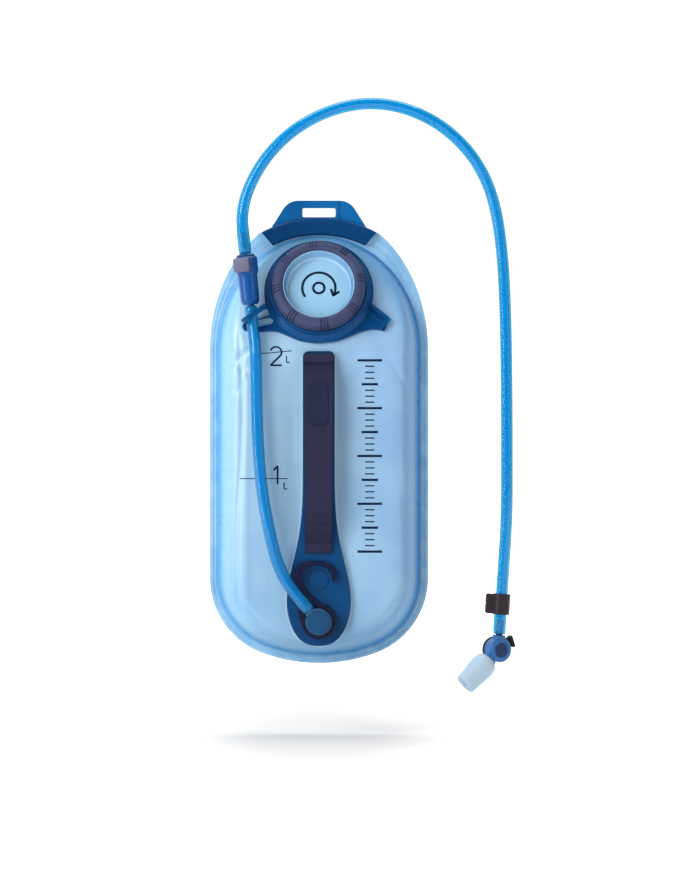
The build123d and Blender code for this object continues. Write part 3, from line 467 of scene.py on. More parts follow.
def moulded(name, colour, rough=0.4, grain=900, bump=0.12, edge_wear_and_highlight=0.20, coat=0.0, vary=0.10, metal=0.0,
            edge=None, stretch=(1, 1, 1), bar=None):
    """Moulded plastic, rubber or metal: mottled colour, fine surface grain, and paler edges, partly rubbed
    and partly painted highlight; an optional darker bar colour is painted shade.
    """
    material, tree = new_material(name)
    where = node(tree, "ShaderNodeTexCoord").outputs["Object"]
    broad = noise(tree, where, 38, 2)
    if metal == 0:
        colour = shade(colour, DEPTH)
    fine = noise(tree, where, grain, 4, stretch)
    base = mix(tree, span(tree, broad, 0.3, 0.7, 0, 1), shade(colour, 1 - vary), shade(colour, 1 + vary))
    base = mix(tree, span(tree, fine, 0.35, 0.75, 0, 0.22), base, shade(colour, 1.35))
    # The hanger's bar faces down and gets a darker colour: painted shade.
    if bar:
        axes = node(tree, "ShaderNodeSeparateXYZ")
        link(tree, where, axes.inputs[0])
        out_from_weld = node(tree, "ShaderNodeMath", operation="ABSOLUTE")
        link(tree, axes.outputs["Y"], out_from_weld.inputs[0])
        base = mix(tree, span(tree, out_from_weld.outputs[0], 0.0033, 0.0038, 0, 1), base, shade(bar, DEPTH))
    bevel = node(tree, "ShaderNodeBevel", samples=4, Radius=0.0005)
    geometry = node(tree, "ShaderNodeNewGeometry")
    edges = node(tree, "ShaderNodeVectorMath", operation="DOT_PRODUCT")
    link(tree, bevel.outputs["Normal"], edges.inputs[0])
    link(tree, geometry.outputs["Normal"], edges.inputs[1])
    # Edges found from the bevel get a paler colour: partly real rubbing, partly painted highlight on rounded
    # edges.
    rubbed_and_highlit_edges = span(tree, edges.outputs["Value"], 0.70, 0.97, edge_wear_and_highlight, 0)
    patchy = span(tree, noise(tree, where, 210, 3), 0.35, 0.65, 0.35, 1)
    amount = node(tree, "ShaderNodeMath", operation="MULTIPLY")
    link(tree, rubbed_and_highlit_edges, amount.inputs[0])
    link(tree, patchy, amount.inputs[1])
    base = mix(tree, amount.outputs[0], base, edge or shade(tuple(c + 0.03 for c in colour), 2.2))
    surface = node(tree, "ShaderNodeBsdfPrincipled", Metallic=metal)
    surface.inputs["Specular IOR Level"].default_value = 0.22
    if metal == 0:
        tint = [0.30 + 0.70 * c / max(colour[:3]) for c in colour[:3]]
        surface.inputs["Specular Tint"].default_value = (*tint, 1)
    surface.inputs["Coat Weight"].default_value = coat * 0.6
    surface.inputs["Coat Roughness"].default_value = 0.12
    link(tree, base, surface.inputs["Base Color"])
    uneven = span(tree, noise(tree, where, 160, 4), 0.25, 0.75, rough * 0.8, rough * 1.2)
    link(tree, uneven, surface.inputs["Roughness"])
    raised = node(tree, "ShaderNodeBump", Strength=bump, Distance=0.0002)
    link(tree, fine, raised.inputs["Height"])
    link(tree, bevel.outputs["Normal"], raised.inputs["Normal"])
    link(tree, raised.outputs["Normal"], surface.inputs["Normal"])
    out = node(tree, "ShaderNodeOutputMaterial")
    link(tree, surface.outputs[0], out.inputs["Surface"])
    return material


def clear(name, colour, deep, see_through=0.12, rough=0.18, facing_power=1.0, transmission=0.0, coat=0.4,
          bump=0.06, grain=120, stretch=(1, 1, 1), tint=None):
    """Tinted clear plastic: pale where seen square on and deeper at its edges, with some light passing."""
    material, tree = new_material(name)
    where = node(tree, "ShaderNodeTexCoord").outputs["Object"]
    facing = node(tree, "ShaderNodeLayerWeight", Blend=0.5).outputs["Facing"]
    rim = span(tree, facing, 0.15, 0.90, 0, facing_power)
    cloud = noise(tree, where, grain, 3, stretch)
    base = mix(tree, rim, colour, deep)
    base = mix(tree, span(tree, cloud, 0.3, 0.7, 0, 0.18), base, shade(colour, 1.18))
    surface = node(tree, "ShaderNodeBsdfPrincipled", IOR=1.42)
    surface.inputs["Transmission Weight"].default_value = transmission
    surface.inputs["Coat Weight"].default_value = coat
    surface.inputs["Coat Roughness"].default_value = 0.08
    link(tree, base, surface.inputs["Base Color"])
    uneven = span(tree, noise(tree, where, 60, 3), 0.2, 0.8, rough * 0.75, rough * 1.25)
    link(tree, uneven, surface.inputs["Roughness"])
    raised = node(tree, "ShaderNodeBump", Strength=bump, Distance=0.0006)
    link(tree, cloud, raised.inputs["Height"])
    link(tree, raised.outputs["Normal"], surface.inputs["Normal"])
    passing = node(tree, "ShaderNodeBsdfTransparent")
    passing.inputs["Color"].default_value = (*(tint or shade(colour, 1.3)), 1)
    both = node(tree, "ShaderNodeMixShader")
    link(tree, span(tree, facing, 0.2, 0.95, see_through, see_through * 0.3), both.inputs[0])
    link(tree, surface.outputs[0], both.inputs[1])
    link(tree, passing.outputs[0], both.inputs[2])
    out = node(tree, "ShaderNodeOutputMaterial")
    link(tree, both.outputs[0], out.inputs["Surface"])
    return material


def film_material():
    """Pale blue welded film. Light gathers to azure in the fold inside the rim; the flat rim is greyer. The
    right side is painted darker as painted shade, and a painted highlight runs beside the spine plate.
    """
    material, tree = new_material("pale_blue_film")
    where = node(tree, "ShaderNodeTexCoord").outputs["Object"]
    axes = node(tree, "ShaderNodeSeparateXYZ")
    link(tree, where, axes.inputs[0])
    inward = node(tree, "ShaderNodeAttribute", attribute_name="inward").outputs["Fac"]
    plate = node(tree, "ShaderNodeAttribute", attribute_name="plate").outputs["Fac"]
    # Painted shade: the film is coloured darker towards the right, away from the key light; the wall and fold
    # bands use the same gradient.
    painted_shade_to_right = span(tree, axes.outputs["X"], -0.07, 0.08, 0, 1)
    base = mix(tree, painted_shade_to_right, srgb("b6d7ea"), srgb("94bade"))
    low = span(tree, axes.outputs["Z"], -0.36, -0.20, 1, 0)
    base = mix(tree, low, base, srgb("94c2e3"))
    blotch = span(tree, noise(tree, where, 22, 2), 0.35, 0.65, 0, 0.22)
    base = mix(tree, blotch, base, srgb("c9e4f3"))
    streak = span(tree, noise(tree, where, 70, 3, (1, 1, 0.12)), 0.45, 0.7, 0, 0.20)
    base = mix(tree, streak, base, srgb("86b4d8"))
    wall = span(tree, inward, 0.002, 0.018, 0.80, 0.0)
    base = mix(tree, wall, base, mix(tree, painted_shade_to_right, srgb("8cc4e6"), srgb("5fa3d4")))
    fold = span(tree, inward, 0.0, 0.0035, 0.9, 0.0)
    base = mix(tree, fold, base, mix(tree, painted_shade_to_right, srgb("5cb4e8"), srgb("3490d6")))
    rim = span(tree, inward, -0.0012, 0.0002, 1.0, 0.0)
    cloudy = span(tree, noise(tree, where, 55, 3), 0.35, 0.65, 0, 1)
    rim_colour = mix(tree, cloudy, srgb("a6d2ee"), srgb("90c2e6"))
    base = mix(tree, rim, base, rim_colour)
    # Painted highlight: the film beside the spine plate, where it curves up from the plate, is coloured
    # paler.
    near = span(tree, plate, 0.0006, 0.0024, 0.75, 0.0)
    base = mix(tree, near, base, srgb("cde5f4"))
    base = mix(tree, 1.0, base, (0.90, 0.97, 1.0), "MULTIPLY")
    surface = node(tree, "ShaderNodeBsdfPrincipled", IOR=1.45)
    surface.inputs["Coat Weight"].default_value = 0.35
    surface.inputs["Coat Roughness"].default_value = 0.16
    link(tree, base, surface.inputs["Base Color"])
    link(tree, span(tree, noise(tree, where, 90, 4), 0.25, 0.75, 0.26, 0.42), surface.inputs["Roughness"])
    peel = noise(tree, where, 520, 3)
    crease = noise(tree, where, 46, 4, (1, 1, 0.5))
    first = node(tree, "ShaderNodeBump", Strength=0.05, Distance=0.0003)
    link(tree, peel, first.inputs["Height"])
    second = node(tree, "ShaderNodeBump", Strength=0.22, Distance=0.0016)
    link(tree, crease, second.inputs["Height"])
    link(tree, first.outputs["Normal"], second.inputs["Normal"])
    link(tree, second.outputs["Normal"], surface.inputs["Normal"])
    glow = node(tree, "ShaderNodeBsdfTranslucent")
    link(tree, base, glow.inputs["Color"])
    soft = node(tree, "ShaderNodeMixShader")
    soft.inputs[0].default_value = 0.24
    link(tree, surface.outputs[0], soft.inputs[1])
    link(tree, glow.outputs[0], soft.inputs[2])
    passing = node(tree, "ShaderNodeBsdfTransparent")
    link(tree, mix(tree, 0.5, (1, 1, 1), base), passing.inputs["Color"])
    both = node(tree, "ShaderNodeMixShader")
    both.inputs[0].default_value = 0.08
    link(tree, soft.outputs[0], both.inputs[1])
    link(tree, passing.outputs[0], both.inputs[2])
    out = node(tree, "ShaderNodeOutputMaterial")
    link(tree, both.outputs[0], out.inputs["Surface"])
    return material


MATERIALS = {
    "film": film_material(),
    "web_film": clear("web_film", srgb("8fbbe0"), srgb("5a94cc"), 0.15),
    "stiffener": moulded("stiffener_strip", srgb("3b7fb5"), 0.45, edge_wear_and_highlight=0.2),
    # Hanger: its pale edge colour is partly painted highlight, and its darker bar is painted shade.
    "hanger_blue": moulded("hanger_blue", srgb("0f6cb0"), 0.36, coat=0.15, edge=srgb("5fa2d8"), vary=0.08,
                           bar=srgb("024680")),
    "collar_blue": moulded("collar_blue", srgb("054c88"), 0.36, coat=0.2, edge=srgb("4f95cf"), vary=0.08),
    "spine_blue": moulded("spine_blue", srgb("034a83"), 0.38, coat=0.12, edge=srgb("4f8fc8"), vary=0.08),
    "strap_rubber": moulded("strap_rubber", srgb("2b2b45"), 0.55, 1400, 0.25, 0.15, edge=srgb("5d6076")),
    "pad_rubber": moulded("pad_rubber", srgb("232843"), 0.62, 700, 0.5, 0.15, edge=srgb("454b70")),
    "ring_plum": moulded("ring_plum", srgb("454d70"), 0.50, 1100, 0.25, 0.22, edge=srgb("7c82a6"), vary=0.12),
    # The lens's deep edge colour is darkened as painted shade on the lens wall.
    "lens_clear": clear("lens_clear", srgb("90bcd8"), srgb("1d64a4"), 0.10, 0.16, 1.0),
    "seal_rubber": moulded("seal_rubber", srgb("2b2c30"), 0.6, 900, 0.2, 0.1),
    # The hook's purple edge colour is partly painted highlight on its chamfers.
    "hook_navy": moulded("hook_navy", srgb("08163a"), 0.32, 900, 0.10, 0.5, coat=0.2, edge=srgb("5d5888")),
    "fitting_blue": moulded("fitting_blue", srgb("12427f"), 0.30, coat=0.3, edge=srgb("5a8fd0")),
    "elbow_blue": moulded("elbow_blue", srgb("12507f"), 0.32, coat=0.3, edge_wear_and_highlight=0.9, edge=srgb("9cc6e8")),
    "retainer_white": moulded("retainer_white", srgb("d9dadb"), 0.45, edge_wear_and_highlight=0.1, vary=0.04),
    "coupler_blue": moulded("coupler_blue", srgb("0c529c"), 0.26, 900, 0.06, 0.4, coat=0.5,
                            edge=srgb("5998ce")),
    "button_grey": moulded("button_grey", srgb("72718e"), 0.5, 480, 0.5, 0.3, edge=srgb("a5a4c0"), vary=0.2),
    "spring_steel": moulded("spring_steel", srgb("b4b6ba"), 0.28, 2000, 0.1, 0.2, metal=1.0),
    "clip_black": moulded("clip_black", srgb("2a2428"), 0.42, 1200, 0.25, 0.45, coat=0.15,
                          edge=srgb("6e666c")),
    "magnet_steel": moulded("magnet_steel", srgb("c8c9cc"), 0.25, 1800, 0.15, 0.2, metal=1.0,
                            stretch=(1, 1, 8)),
    "valve_blue": moulded("valve_blue", srgb("3878bc"), 0.30, coat=0.35, edge=srgb("9dc3e6")),
    "rotor_navy": moulded("rotor_navy", srgb("1c3464"), 0.28, coat=0.4, edge=srgb("5b7fbf")),
    "lever_black": moulded("lever_black", srgb("14181d"), 0.38, 1200, 0.2, 0.5, coat=0.2,
                           edge=srgb("565d66")),
    "silicone": clear("frosted_silicone", srgb("b4c9d8"), srgb("7ba2c2"), 0.20, 0.34, 0.8, coat=0.15,
                      grain=300),
    "hose_clear": clear("clear_blue_hose", srgb("0a8ccc"), srgb("033c74"), 0.60, 0.10, 1.0, coat=1.0,
                        grain=90, stretch=(1, 1, 0.2), tint=(0.18, 0.80, 0.96)),
    "print_navy": moulded("printed_ink", srgb("1d2f55"), 0.5, 1500, 0.1, 0.0, vary=0.15),
}

slot_of = {part["node"]: part["material_slot"] for part in frame["record"]["subparts"]}


def paint(obj, material):
    obj.data.materials.clear()
    obj.data.materials.append(material)
    for polygon in obj.data.polygons:
        polygon.material_index = 0


for name, obj in nodes.items():
    paint(obj, MATERIALS[slot_of[name]])

# ------------------------------------------------------------------ bag
front_film = film_panel("front_film", "front_panel", front_height, -1)
back_film = film_panel("back_film", "back_panel", back_height, 1)
for panel in (front_film, back_film):
    paint(panel, MATERIALS["film"])


# ------------------------------------------------------------------ hoses
def trace_bore(name, start, direction, step=0.003):
    """Centre line of a CAD hose: rays cast from inside its bore find the next centre until the bore ends."""
    tree = BVHTree.FromObject(nodes[name], bpy.context.evaluated_depsgraph_get())
    here, heading = Vector(start), Vector(direction).normalized()
    line = []
    while len(line) < 600:
        across = heading.orthogonal().normalized()
        other = heading.cross(across)
        hits = []
        for i in range(24):
            turn = 2 * pi * i / 24
            hit = tree.ray_cast(here, across * cos(turn) + other * sin(turn), 0.006)[0]
            if hit:
                hits.append(hit)
        if len(hits) < 24:
            break
        centre = sum(hits, Vector()) / len(hits)
        if line:
            heading = (heading * 0.4 + (centre - line[-1]).normalized() * 0.6).normalized()
        line.append(centre)
        here = centre + heading * step
    return line


def smooth_line(line, rounds):
    points = np.array([tuple(p) for p in line])
    for _ in range(rounds):
        points[1:-1] = (points[:-2] + 2 * points[1:-1] + points[2:]) / 4
    return [Vector(p) for p in points]


def tube_along(name, line, radius_at, body, sides=48, bore_at=None):
    """Tube with a wall: radius_at gives the outer radius from the distance along the line."""
    lengths = [0.0]
    for a, b in zip(line, line[1:]):
        lengths.append(lengths[-1] + (b - a).length)
    total = lengths[-1]
    ahead = (line[1] - line[0]).normalized()
    across = ahead.orthogonal().normalized()
    rings_out, rings_in = [], []
    for i, place in enumerate(line):
        after = line[min(i + 1, len(line) - 1)]
        before = line[max(i - 1, 0)]
        ahead = (after - before).normalized()
        across = (across - ahead * across.dot(ahead)).normalized()
        other = ahead.cross(across)
        outside, inside = radius_at(lengths[i], total), bore_at(lengths[i], total)
        for rings, reach in ((rings_out, outside), (rings_in, inside)):
            rings.append([place + (across * cos(2 * pi * k / sides) + other * sin(2 * pi * k / sides)) * reach
                          for k in range(sides)])
    loop = rings_out + rings_in[::-1]
    vertices = [v for ring in loop for v in ring]
    faces = []
    for r in range(len(loop)):
        s = (r + 1) % len(loop)
        for k in range(sides):
            n = (k + 1) % sides
            faces.append((r * sides + k, r * sides + n, s * sides + n, s * sides + k))
    return mesh_object(name, vertices, faces, body)


HOSE_RADIUS, HOSE_BORE, SLEEVE_RADIUS, SLEEVE_BORE = 0.0049, 0.0032, 0.0052, 0.00345


def sleeved(plain, sleeve, first_barb, last_barb):
    """Radius along a hose that is stretched over a barb at each end."""
    def radius(distance, total):
        from_end = total - distance
        swell = 1 - smooth(first_barb + 0.0005, first_barb + 0.0040, distance)
        swell = max(swell, 1 - smooth(last_barb + 0.0005, last_barb + 0.0040, from_end))
        lip = 0.0004 * (np.exp(-distance / 0.0003) + np.exp(-from_end / 0.0003))
        return plain + (sleeve - plain) * swell - (lip if plain > 0.004 else 0)
    return radius


def hose(name, node_name, start, direction, barbs, body):
    line = smooth_line(trace_bore(node_name, start, direction), 6)
    line = [Vector(start)] + line[1:]
    piece = tube_along(name, line, sleeved(HOSE_RADIUS, SLEEVE_RADIUS, *barbs), body,
                       bore_at=sleeved(HOSE_BORE, SLEEVE_BORE, *barbs))
    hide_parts(node_name)
    paint(piece, MATERIALS["hose_clear"])
    return piece


ELBOW_TURN = radians(40)
ELBOW_LEG = 0.0113                          # from the port's axis to the end of the lower hose
PLUG_SHOULDER = 0.0023                      # from the coupling's top to the end of the upper hose
ELBOW_BARB, SOCKET_BARB = 0.0095, 0.008     # lengths of hose pushed over each barb
PLUG_BARB, STEM_BARB = 0.0185, 0.0135
leg_direction = Vector((-sin(ELBOW_TURN), 0, cos(ELBOW_TURN)))
leg_start = PORT_CENTRE + leg_direction * ELBOW_LEG
lower_hose = hose("bag_side_hose", "lower_hose", leg_start, leg_direction, (ELBOW_BARB, SOCKET_BARB), None)
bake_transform(lower_hose)
upper_start = COUPLING_TOP + COUPLING_AXIS * PLUG_SHOULDER
hose("drinking_hose", "upper_hose", upper_start, COUPLING_AXIS, (PLUG_BARB, STEM_BARB), "hose")


# ------------------------------------------------------------------ springs
def spring_between(node_name):
    """Copy of a CAD spring as a fixed mesh of its own, painted spring steel; the CAD node is hidden."""
    source = nodes[node_name]
    mesh = source.data.copy()
    mesh.transform(source.matrix_world)
    piece = bpy.data.objects.new(node_name + "_coils", mesh)
    bpy.context.scene.collection.objects.link(piece)
    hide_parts(node_name)
    paint(piece, MATERIALS["spring_steel"])
    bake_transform(piece)


spring_between("latch_spring")
spring_between("poppet_spring")


# ------------------------------------------------------------------ bite valve
def turned_piece(name, profile, centre, axis, body, slot, sides=72, squeeze=None):
    """Solid of revolution about an axis from (radius, height) points; a profile may close on itself."""
    axis = Vector(axis).normalized()
    across = axis.cross(DISC_AXIS).normalized() if slot == "silicone" else axis.orthogonal().normalized()
    other = axis.cross(across)
    vertices, faces = [], []
    for radius, height in profile:
        for k in range(sides):
            turn = 2 * pi * k / sides
            a, b = cos(turn) * radius, sin(turn) * radius
            if squeeze:
                a, b = squeeze(a, b, height)
            vertices.append(Vector(centre) + axis * height + across * a + other * b)
    count = len(profile)
    for r in range(count - 1):
        for k in range(sides):
            n = (k + 1) % sides
            faces.append((r * sides + k, r * sides + n, (r + 1) * sides + n, (r + 1) * sides + k))
    return mesh_object(name, vertices, faces, body)


def curve_profile(points, steps=8):
    """Smooth Catmull-Rom line through (radius, height) points."""
    line = []
    padded = [points[0]] + list(points) + [points[-1]]
    for i in range(1, len(padded) - 2):
        p0, p1, p2, p3 = (np.array(padded[i + k], float) for k in (-1, 0, 1, 2))
        for s in range(steps):
            t = s / steps
            line.append(tuple(0.5 * (2 * p1 + (p2 - p0) * t + (2 * p0 - 5 * p1 + 4 * p2 - p3) * t ** 2
                                     + (3 * p1 - p0 - 3 * p2 + p3) * t ** 3)))
    line.append(tuple(points[-1]))
    return line


nose_side = HOSE_UP.cross(DISC_AXIS).normalized()
if nose_side.x > 0:
    nose_side = -nose_side
NOSE_AXIS = (nose_side - HOSE_UP).normalized()


def bite_valve():
    """Soft mouthpiece: a flared skirt, a bulb and a flattened tip with a slit."""
    outside = [(5.75, 12.4), (6.9, 12.35), (8.2, 13.1), (9.3, 14.8), (10.1, 18.0), (10.3, 22.0), (9.9, 27.5),
               (9.2, 33.0), (8.9, 37.5), (8.75, 40.2), (8.2, 41.4), (7.0, 41.75), (3.5, 41.8), (0.02, 41.8)]
    inside = [(0.02, 39.9), (3.4, 39.9), (6.2, 39.5), (7.0, 37.0), (7.25, 30.0), (7.3, 24.0), (7.22, 21.0),
              (7.2, 16.0), (6.6, 15.0), (5.75, 14.3)]
    profile = curve_profile(outside, 6) + curve_profile(inside, 4)
    profile = [(max(r, 0.02) * MM, h * MM) for r, h in profile]
    profile.append(profile[0])

    def squeeze(a, b, height):
        flat = smooth(0.034, 0.0415, height) * 0.10
        return a * (1 + flat * 0.35), b * (1 - flat)

    piece = turned_piece("bite_mouthpiece", profile, VALVE_CENTRE, NOSE_AXIS, "valve", "silicone",
                         squeeze=squeeze)
    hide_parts("bite_sleeve")
    paint(piece, MATERIALS["silicone"])
    across = NOSE_AXIS.cross(DISC_AXIS).normalized()
    other = NOSE_AXIS.cross(across)
    tip = VALVE_CENTRE + NOSE_AXIS * 0.04184
    vertices, faces = [], []
    steps = 24
    for layer in (0, 1):
        for i in range(steps + 1):
            t = i / steps * 2 - 1
            half = 0.00016 + 0.00030 * (1 - t * t)
            for side in (-1, 1):
                vertices.append(tip + across * (0.0040 * t) + other * half * side
                                - NOSE_AXIS * 0.0001 * layer)
    row = 2 * (steps + 1)
    for i in range(steps):
        a = 2 * i
        faces += [(a, a + 1, a + 3, a + 2), (row + a, row + a + 2, row + a + 3, row + a + 1),
                  (a, a + 2, row + a + 2, row + a), (a + 1, row + a + 1, row + a + 3, a + 3)]
    faces += [(0, row, row + 1, 1), (2 * steps, 2 * steps + 1, row + 2 * steps + 1, row + 2 * steps)]
    # A thin dark navy strip across the tip stands in for the shade inside the slit: painted shade.
    slit = mesh_object("bite_slit_shade", vertices, faces, "valve")
    paint(slit, MATERIALS["rotor_navy"])


bite_valve()


# ------------------------------------------------------------------ printed scale on the film
film_tree = BVHTree.FromObject(front_film, bpy.context.evaluated_depsgraph_get())
INK = 0.00012


def on_film(x, z):
    hit, normal = film_tree.ray_cast(Vector((x, -0.2, z)), Vector((0, 1, 0)))[:2]
    return hit + normal * INK * (1 if normal.y < 0 else -1)


def stroke(points, width, place, closed=False):
    """Ribbon along (x, z) points; place puts an (x, z) point on the surface. Returns vertices and faces."""
    dense = []
    for (ax, az), (bx, bz) in zip(points, points[1:]):
        count = max(1, int(np.hypot(bx - ax, bz - az) / 0.0008))
        dense += [(ax + (bx - ax) * i / count, az + (bz - az) * i / count) for i in range(count)]
    dense.append(points[-1])
    vertices = []
    for i, (x, z) in enumerate(dense):
        ax, az = dense[max(i - 1, 0)]
        bx, bz = dense[min(i + 1, len(dense) - 1)]
        length = np.hypot(bx - ax, bz - az) or 1
        nx, nz = -(bz - az) / length * width / 2, (bx - ax) / length * width / 2
        vertices += [place(x + nx, z + nz), place(x - nx, z - nz)]
    faces = [(2 * i, 2 * i + 1, 2 * i + 3, 2 * i + 2) for i in range(len(dense) - 1)]
    return vertices, faces


def arc(cx, cz, radius, start, end, steps=14, squash=1.0):
    return [(cx + radius * cos(radians(start + (end - start) * i / steps)),
             cz + radius * squash * sin(radians(start + (end - start) * i / steps)))
            for i in range(steps + 1)]


def ink_piece(name, strokes, place, width, body="bag", thickness=0.00006):
    """One printed piece from several strokes, given a very thin body."""
    vertices, faces = [], []
    for line in strokes:
        made, quads = stroke(line, width, place)
        faces += [tuple(len(vertices) + i for i in quad) for quad in quads]
        vertices += made
    piece = mesh_object(name, vertices, faces, body)
    thicken = piece.modifiers.new("ink", "SOLIDIFY")
    thicken.thickness = thickness
    thicken.offset = 0
    bpy.context.view_layer.objects.active = piece
    bpy.ops.object.modifier_apply(modifier=thicken.name)
    paint(piece, MATERIALS["print_navy"])
    return piece


def digit_two(x, z, height):
    r = height * 0.30
    top = arc(x, z + height / 2 - r, r, 160, -30, 16)
    return top + [(x - r, z - height / 2), (x + r * 1.05, z - height / 2)]


def digit_one(x, z, height):
    return [(x - height * 0.20, z + height * 0.27), (x, z + height / 2), (x, z - height / 2)]


def letter_litre(x, z, height):
    return [(x - height * 0.2, z + height / 2), (x - height * 0.2, z - height / 2),
            (x + height * 0.3, z - height / 2)]


MARK_LEFT, MARK_RIGHT = -0.0640, -0.0222      # reach of the two volume marks
marks = [
    [(-0.0508, -0.1164), (MARK_RIGHT, -0.1137)],
    [(MARK_LEFT, -0.2177), (-0.0255, -0.2177)],
]
ink_piece("volume_lines", marks, on_film, 0.0007)
ink_piece("volume_digits",
          [digit_two(-0.0348, -0.1155 - 0.0025, 0.0150), digit_one(-0.0335, -0.2177 + 0.0028, 0.0150)],
          on_film, 0.0014)
ink_piece("volume_units", [letter_litre(-0.0252, -0.1205, 0.0052), letter_litre(-0.0272, -0.2235, 0.0052)],
          on_film, 0.0009)

SCALE_X, SCALE_TOP, SCALE_BOTTOM = 0.0415, -0.1215, -0.2770     # fill scale on the right of the spine
ticks, long_ticks = [], []
TICKS = 32
for number in range(TICKS + 1):
    height = SCALE_TOP + (SCALE_BOTTOM - SCALE_TOP) * number / TICKS
    reach = 0.0100 if number % 8 == 0 else 0.0066 if number % 4 == 0 else 0.0038
    target = long_ticks if number % 4 == 0 else ticks
    target.append([(SCALE_X - reach, height), (SCALE_X + reach, height)])
ink_piece("scale_short_ticks", ticks, on_film, 0.0010)
ink_piece("scale_long_ticks", long_ticks, on_film, 0.0019)


# ------------------------------------------------------------------ turn arrow on the cap, ribs on the handle
def lens_place(x, z):
    """Point on the lens floor from (x, z) in the plane across the cap's axis."""
    up = Vector((0, sin(SLOPE), cos(SLOPE)))
    floor = 0.01046
    return CAP_CENTRE + Vector((1, 0, 0)) * x + up * z + CAP_AXIS * floor


def turn_arrow():
    """Three-quarter circle with an arrow head that shows which way the ring closes, round a small ring."""
    reach, end = 0.0135, -30
    head = 0.0062
    curve = arc(0, 0, reach, 215, end, 40)
    tip = curve[-1]
    heading = radians(end - 90 + 12)
    barbs = [(tip[0] - head * cos(heading + turn), tip[1] - head * sin(heading + turn))
             for turn in (-0.62, 0.62)]
    ring = arc(0, 0, 0.0046, 0, 360, 30)
    ink_piece("turn_arrow", [curve, [barbs[0], tip, barbs[1]], ring], lens_place, 0.0020,
              body="cap_disc")


turn_arrow()


def handle_ribs():
    """Three raised ribs low on the handle's front, each a rounded bar that follows the bow."""
    tree = BVHTree.FromObject(nodes["handle_strap"], bpy.context.evaluated_depsgraph_get())
    vertices, faces = [], []
    for rib in range(3):
        height = -0.2480 - 0.0060 * rib
        rows, columns = 8, 24
        first = len(vertices)
        for i in range(columns + 1):
            t = i / columns * 2 - 1
            half = 0.0011 * sqrt(max(1 - t ** 6, 0.02))
            for j in range(rows + 1):
                turn = pi * j / rows
                x, z = 0.0066 * t, height - half * cos(turn)
                hit = tree.ray_cast(Vector((x, -0.2, z)), Vector((0, 1, 0)))[0]
                lift = 0.0008 * sin(turn) * sqrt(max(1 - t ** 6, 0.0)) - 0.0002
                vertices.append(Vector((x, hit.y - lift, z)))
        width = rows + 1
        for i in range(columns):
            for j in range(rows):
                a = first + i * width + j
                faces.append((a, a + 1, a + width + 1, a + width))
            a = first + i * width
            faces.append((a, a + width, a + width + rows, a + rows))
        faces.append([first + j for j in range(width)])
        faces.append([first + columns * width + j for j in range(width)])
    paint(mesh_object("handle_ribs", vertices, faces, "bag"), MATERIALS["strap_rubber"])


handle_ribs()

# ------------------------------------------------------------------ studio
FLOOR_Z = -0.428
FLOOR_REACH = 9.0           # half the side of the pale floor
PAINTED_SHADOW_WIDE, PAINTED_SHADOW_DEEP = 0.16, 0.70           # half sizes of the painted shadow under the bag
SEEN_WHITE = 1.25           # strength of the surroundings where the camera sees them


def studio():
    """Pale floor with a painted shadow under the bag: a soft dark ellipse in its colour and glow."""
    corners = ((-1, -1), (1, -1), (1, 1), (-1, 1))
    vertices = [(x * FLOOR_REACH, y * FLOOR_REACH, FLOOR_Z) for x, y in corners]
    faces = [(0, 1, 2, 3)]
    mesh = bpy.data.meshes.new("studio_floor")
    mesh.from_pydata(vertices, [], faces)
    mesh.shade_smooth()
    floor = bpy.data.objects.new("studio_floor", mesh)
    bpy.context.scene.collection.objects.link(floor)
    material, tree = new_material("studio_white")
    diffuse = node(tree, "ShaderNodeBsdfDiffuse")
    where = node(tree, "ShaderNodeTexCoord").outputs["Object"]
    uneven = span(tree, noise(tree, where, 2.0, 2), 0.3, 0.7, 0, 1)
    tone = mix(tree, uneven, (0.86, 0.86, 0.86), (0.88, 0.88, 0.88))
    painted_shadow_map = node(tree, "ShaderNodeMapping")
    painted_shadow_map.inputs["Scale"].default_value = (1 / PAINTED_SHADOW_WIDE, 1 / PAINTED_SHADOW_DEEP, 0)
    link(tree, where, painted_shadow_map.inputs["Vector"])
    reach = node(tree, "ShaderNodeVectorMath", operation="LENGTH")
    link(tree, painted_shadow_map.outputs["Vector"], reach.inputs[0])
    # Painted shadow: the floor's colour goes dark in a soft ellipse under the bag.
    under = span(tree, reach.outputs["Value"], 0.25, 1.10, 0.42, 0.84)
    link(tree, mix(tree, under, (0.25, 0.25, 0.25), tone), diffuse.inputs["Color"])
    glow = node(tree, "ShaderNodeEmission")
    level = node(tree, "ShaderNodeMath", operation="MULTIPLY")
    away = node(tree, "ShaderNodeVectorMath", operation="LENGTH")
    link(tree, where, away.inputs[0])
    link(tree, span(tree, away.outputs["Value"], 0.8, 1.8, 0.45, 1.2), level.inputs[0])
    # The floor's glow is dimmed by the same painted shadow.
    link(tree, under, level.inputs[1])
    link(tree, level.outputs[0], glow.inputs["Strength"])
    both = node(tree, "ShaderNodeAddShader")
    link(tree, diffuse.outputs[0], both.inputs[0])
    link(tree, glow.outputs[0], both.inputs[1])
    out = node(tree, "ShaderNodeOutputMaterial")
    link(tree, both.outputs[0], out.inputs["Surface"])
    mesh.materials.append(material)


def area_light(name, place, target, size, power, tint=(1, 1, 1)):
    data = bpy.data.lights.new(name, "AREA")
    data.shape = "RECTANGLE"
    data.size, data.size_y = size
    data.energy = power
    data.color = tint
    lamp = bpy.data.objects.new(name, data)
    lamp.location = place
    lamp.rotation_euler = (Vector(target) - Vector(place)).to_track_quat("-Z", "Y").to_euler()
    bpy.context.scene.collection.objects.link(lamp)


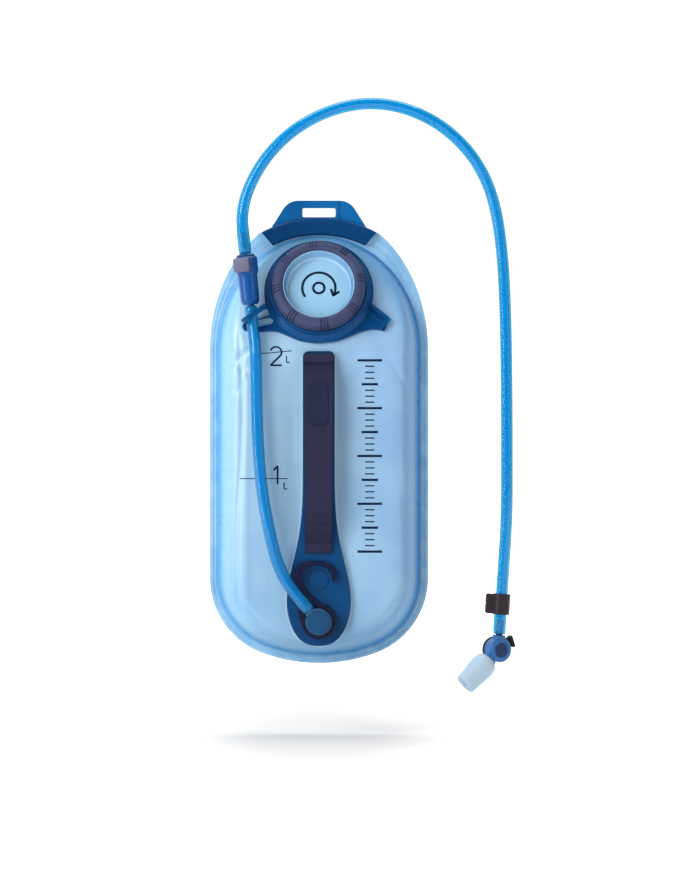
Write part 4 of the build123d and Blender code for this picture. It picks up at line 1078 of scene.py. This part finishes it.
def studio_world():
    """Soft white surroundings, dim behind the camera so that dark plastics stay dark."""
    world = bpy.data.worlds.new("studio_world")
    world.use_nodes = True
    tree = world.node_tree
    axes = node(tree, "ShaderNodeSeparateXYZ")
    link(tree, node(tree, "ShaderNodeTexCoord").outputs["Generated"], axes.inputs[0])
    strength = node(tree, "ShaderNodeMath", operation="ADD")
    link(tree, span(tree, axes.outputs["Y"], -0.75, 0.15, 0.07, 0.50), strength.inputs[0])
    link(tree, span(tree, axes.outputs["Y"], 0.25, 0.50, 0.0, 0.75), strength.inputs[1])
    seen = node(tree, "ShaderNodeMath", operation="MAXIMUM")
    link(tree, strength.outputs[0], seen.inputs[0])
    glare = node(tree, "ShaderNodeMath", operation="MULTIPLY")
    link(tree, node(tree, "ShaderNodeLightPath").outputs["Is Camera Ray"], glare.inputs[0])
    glare.inputs[1].default_value = SEEN_WHITE
    link(tree, glare.outputs[0], seen.inputs[1])
    link(tree, seen.outputs[0], tree.nodes["Background"].inputs["Strength"])
    tree.nodes["Background"].inputs["Color"].default_value = (1, 1, 1, 1)
    bpy.context.scene.world = world


studio()
studio_world()
middle = (0.02, 0, -0.17)
area_light("key_softbox", (-1.5, -1.9, 1.0), middle, (1.0, 1.3), 44)
area_light("fill_softbox", (1.9, -1.6, 0.2), middle, (1.0, 1.6), 9)
area_light("top_softbox", (0.0, 0.15, 1.5), middle, (1.5, 1.0), 20)
area_light("strip_left", (-1.3, -0.9, 0.0), middle, (0.22, 1.8), 14)
bpy.context.scene.view_settings.view_transform = "Standard"

# The camera looks level along +Y from 4 m; at the weld plane one pixel of a 700 px wide image is 0.82 mm.
DISTANCE, WIDTH_SEEN, SENSOR = 4.0, 0.574, 36.0
camera_data = bpy.data.cameras.new("camera")
camera_data.sensor_width = SENSOR
camera_data.sensor_fit = "HORIZONTAL"
camera_data.lens = SENSOR * DISTANCE / WIDTH_SEEN
camera = bpy.data.objects.new("camera", camera_data)
camera.location = (0.0254, -DISTANCE, -0.1818)
camera.rotation_euler = (radians(90), 0, 0)
bpy.context.scene.collection.objects.link(camera)
bpy.context.scene.camera = camera
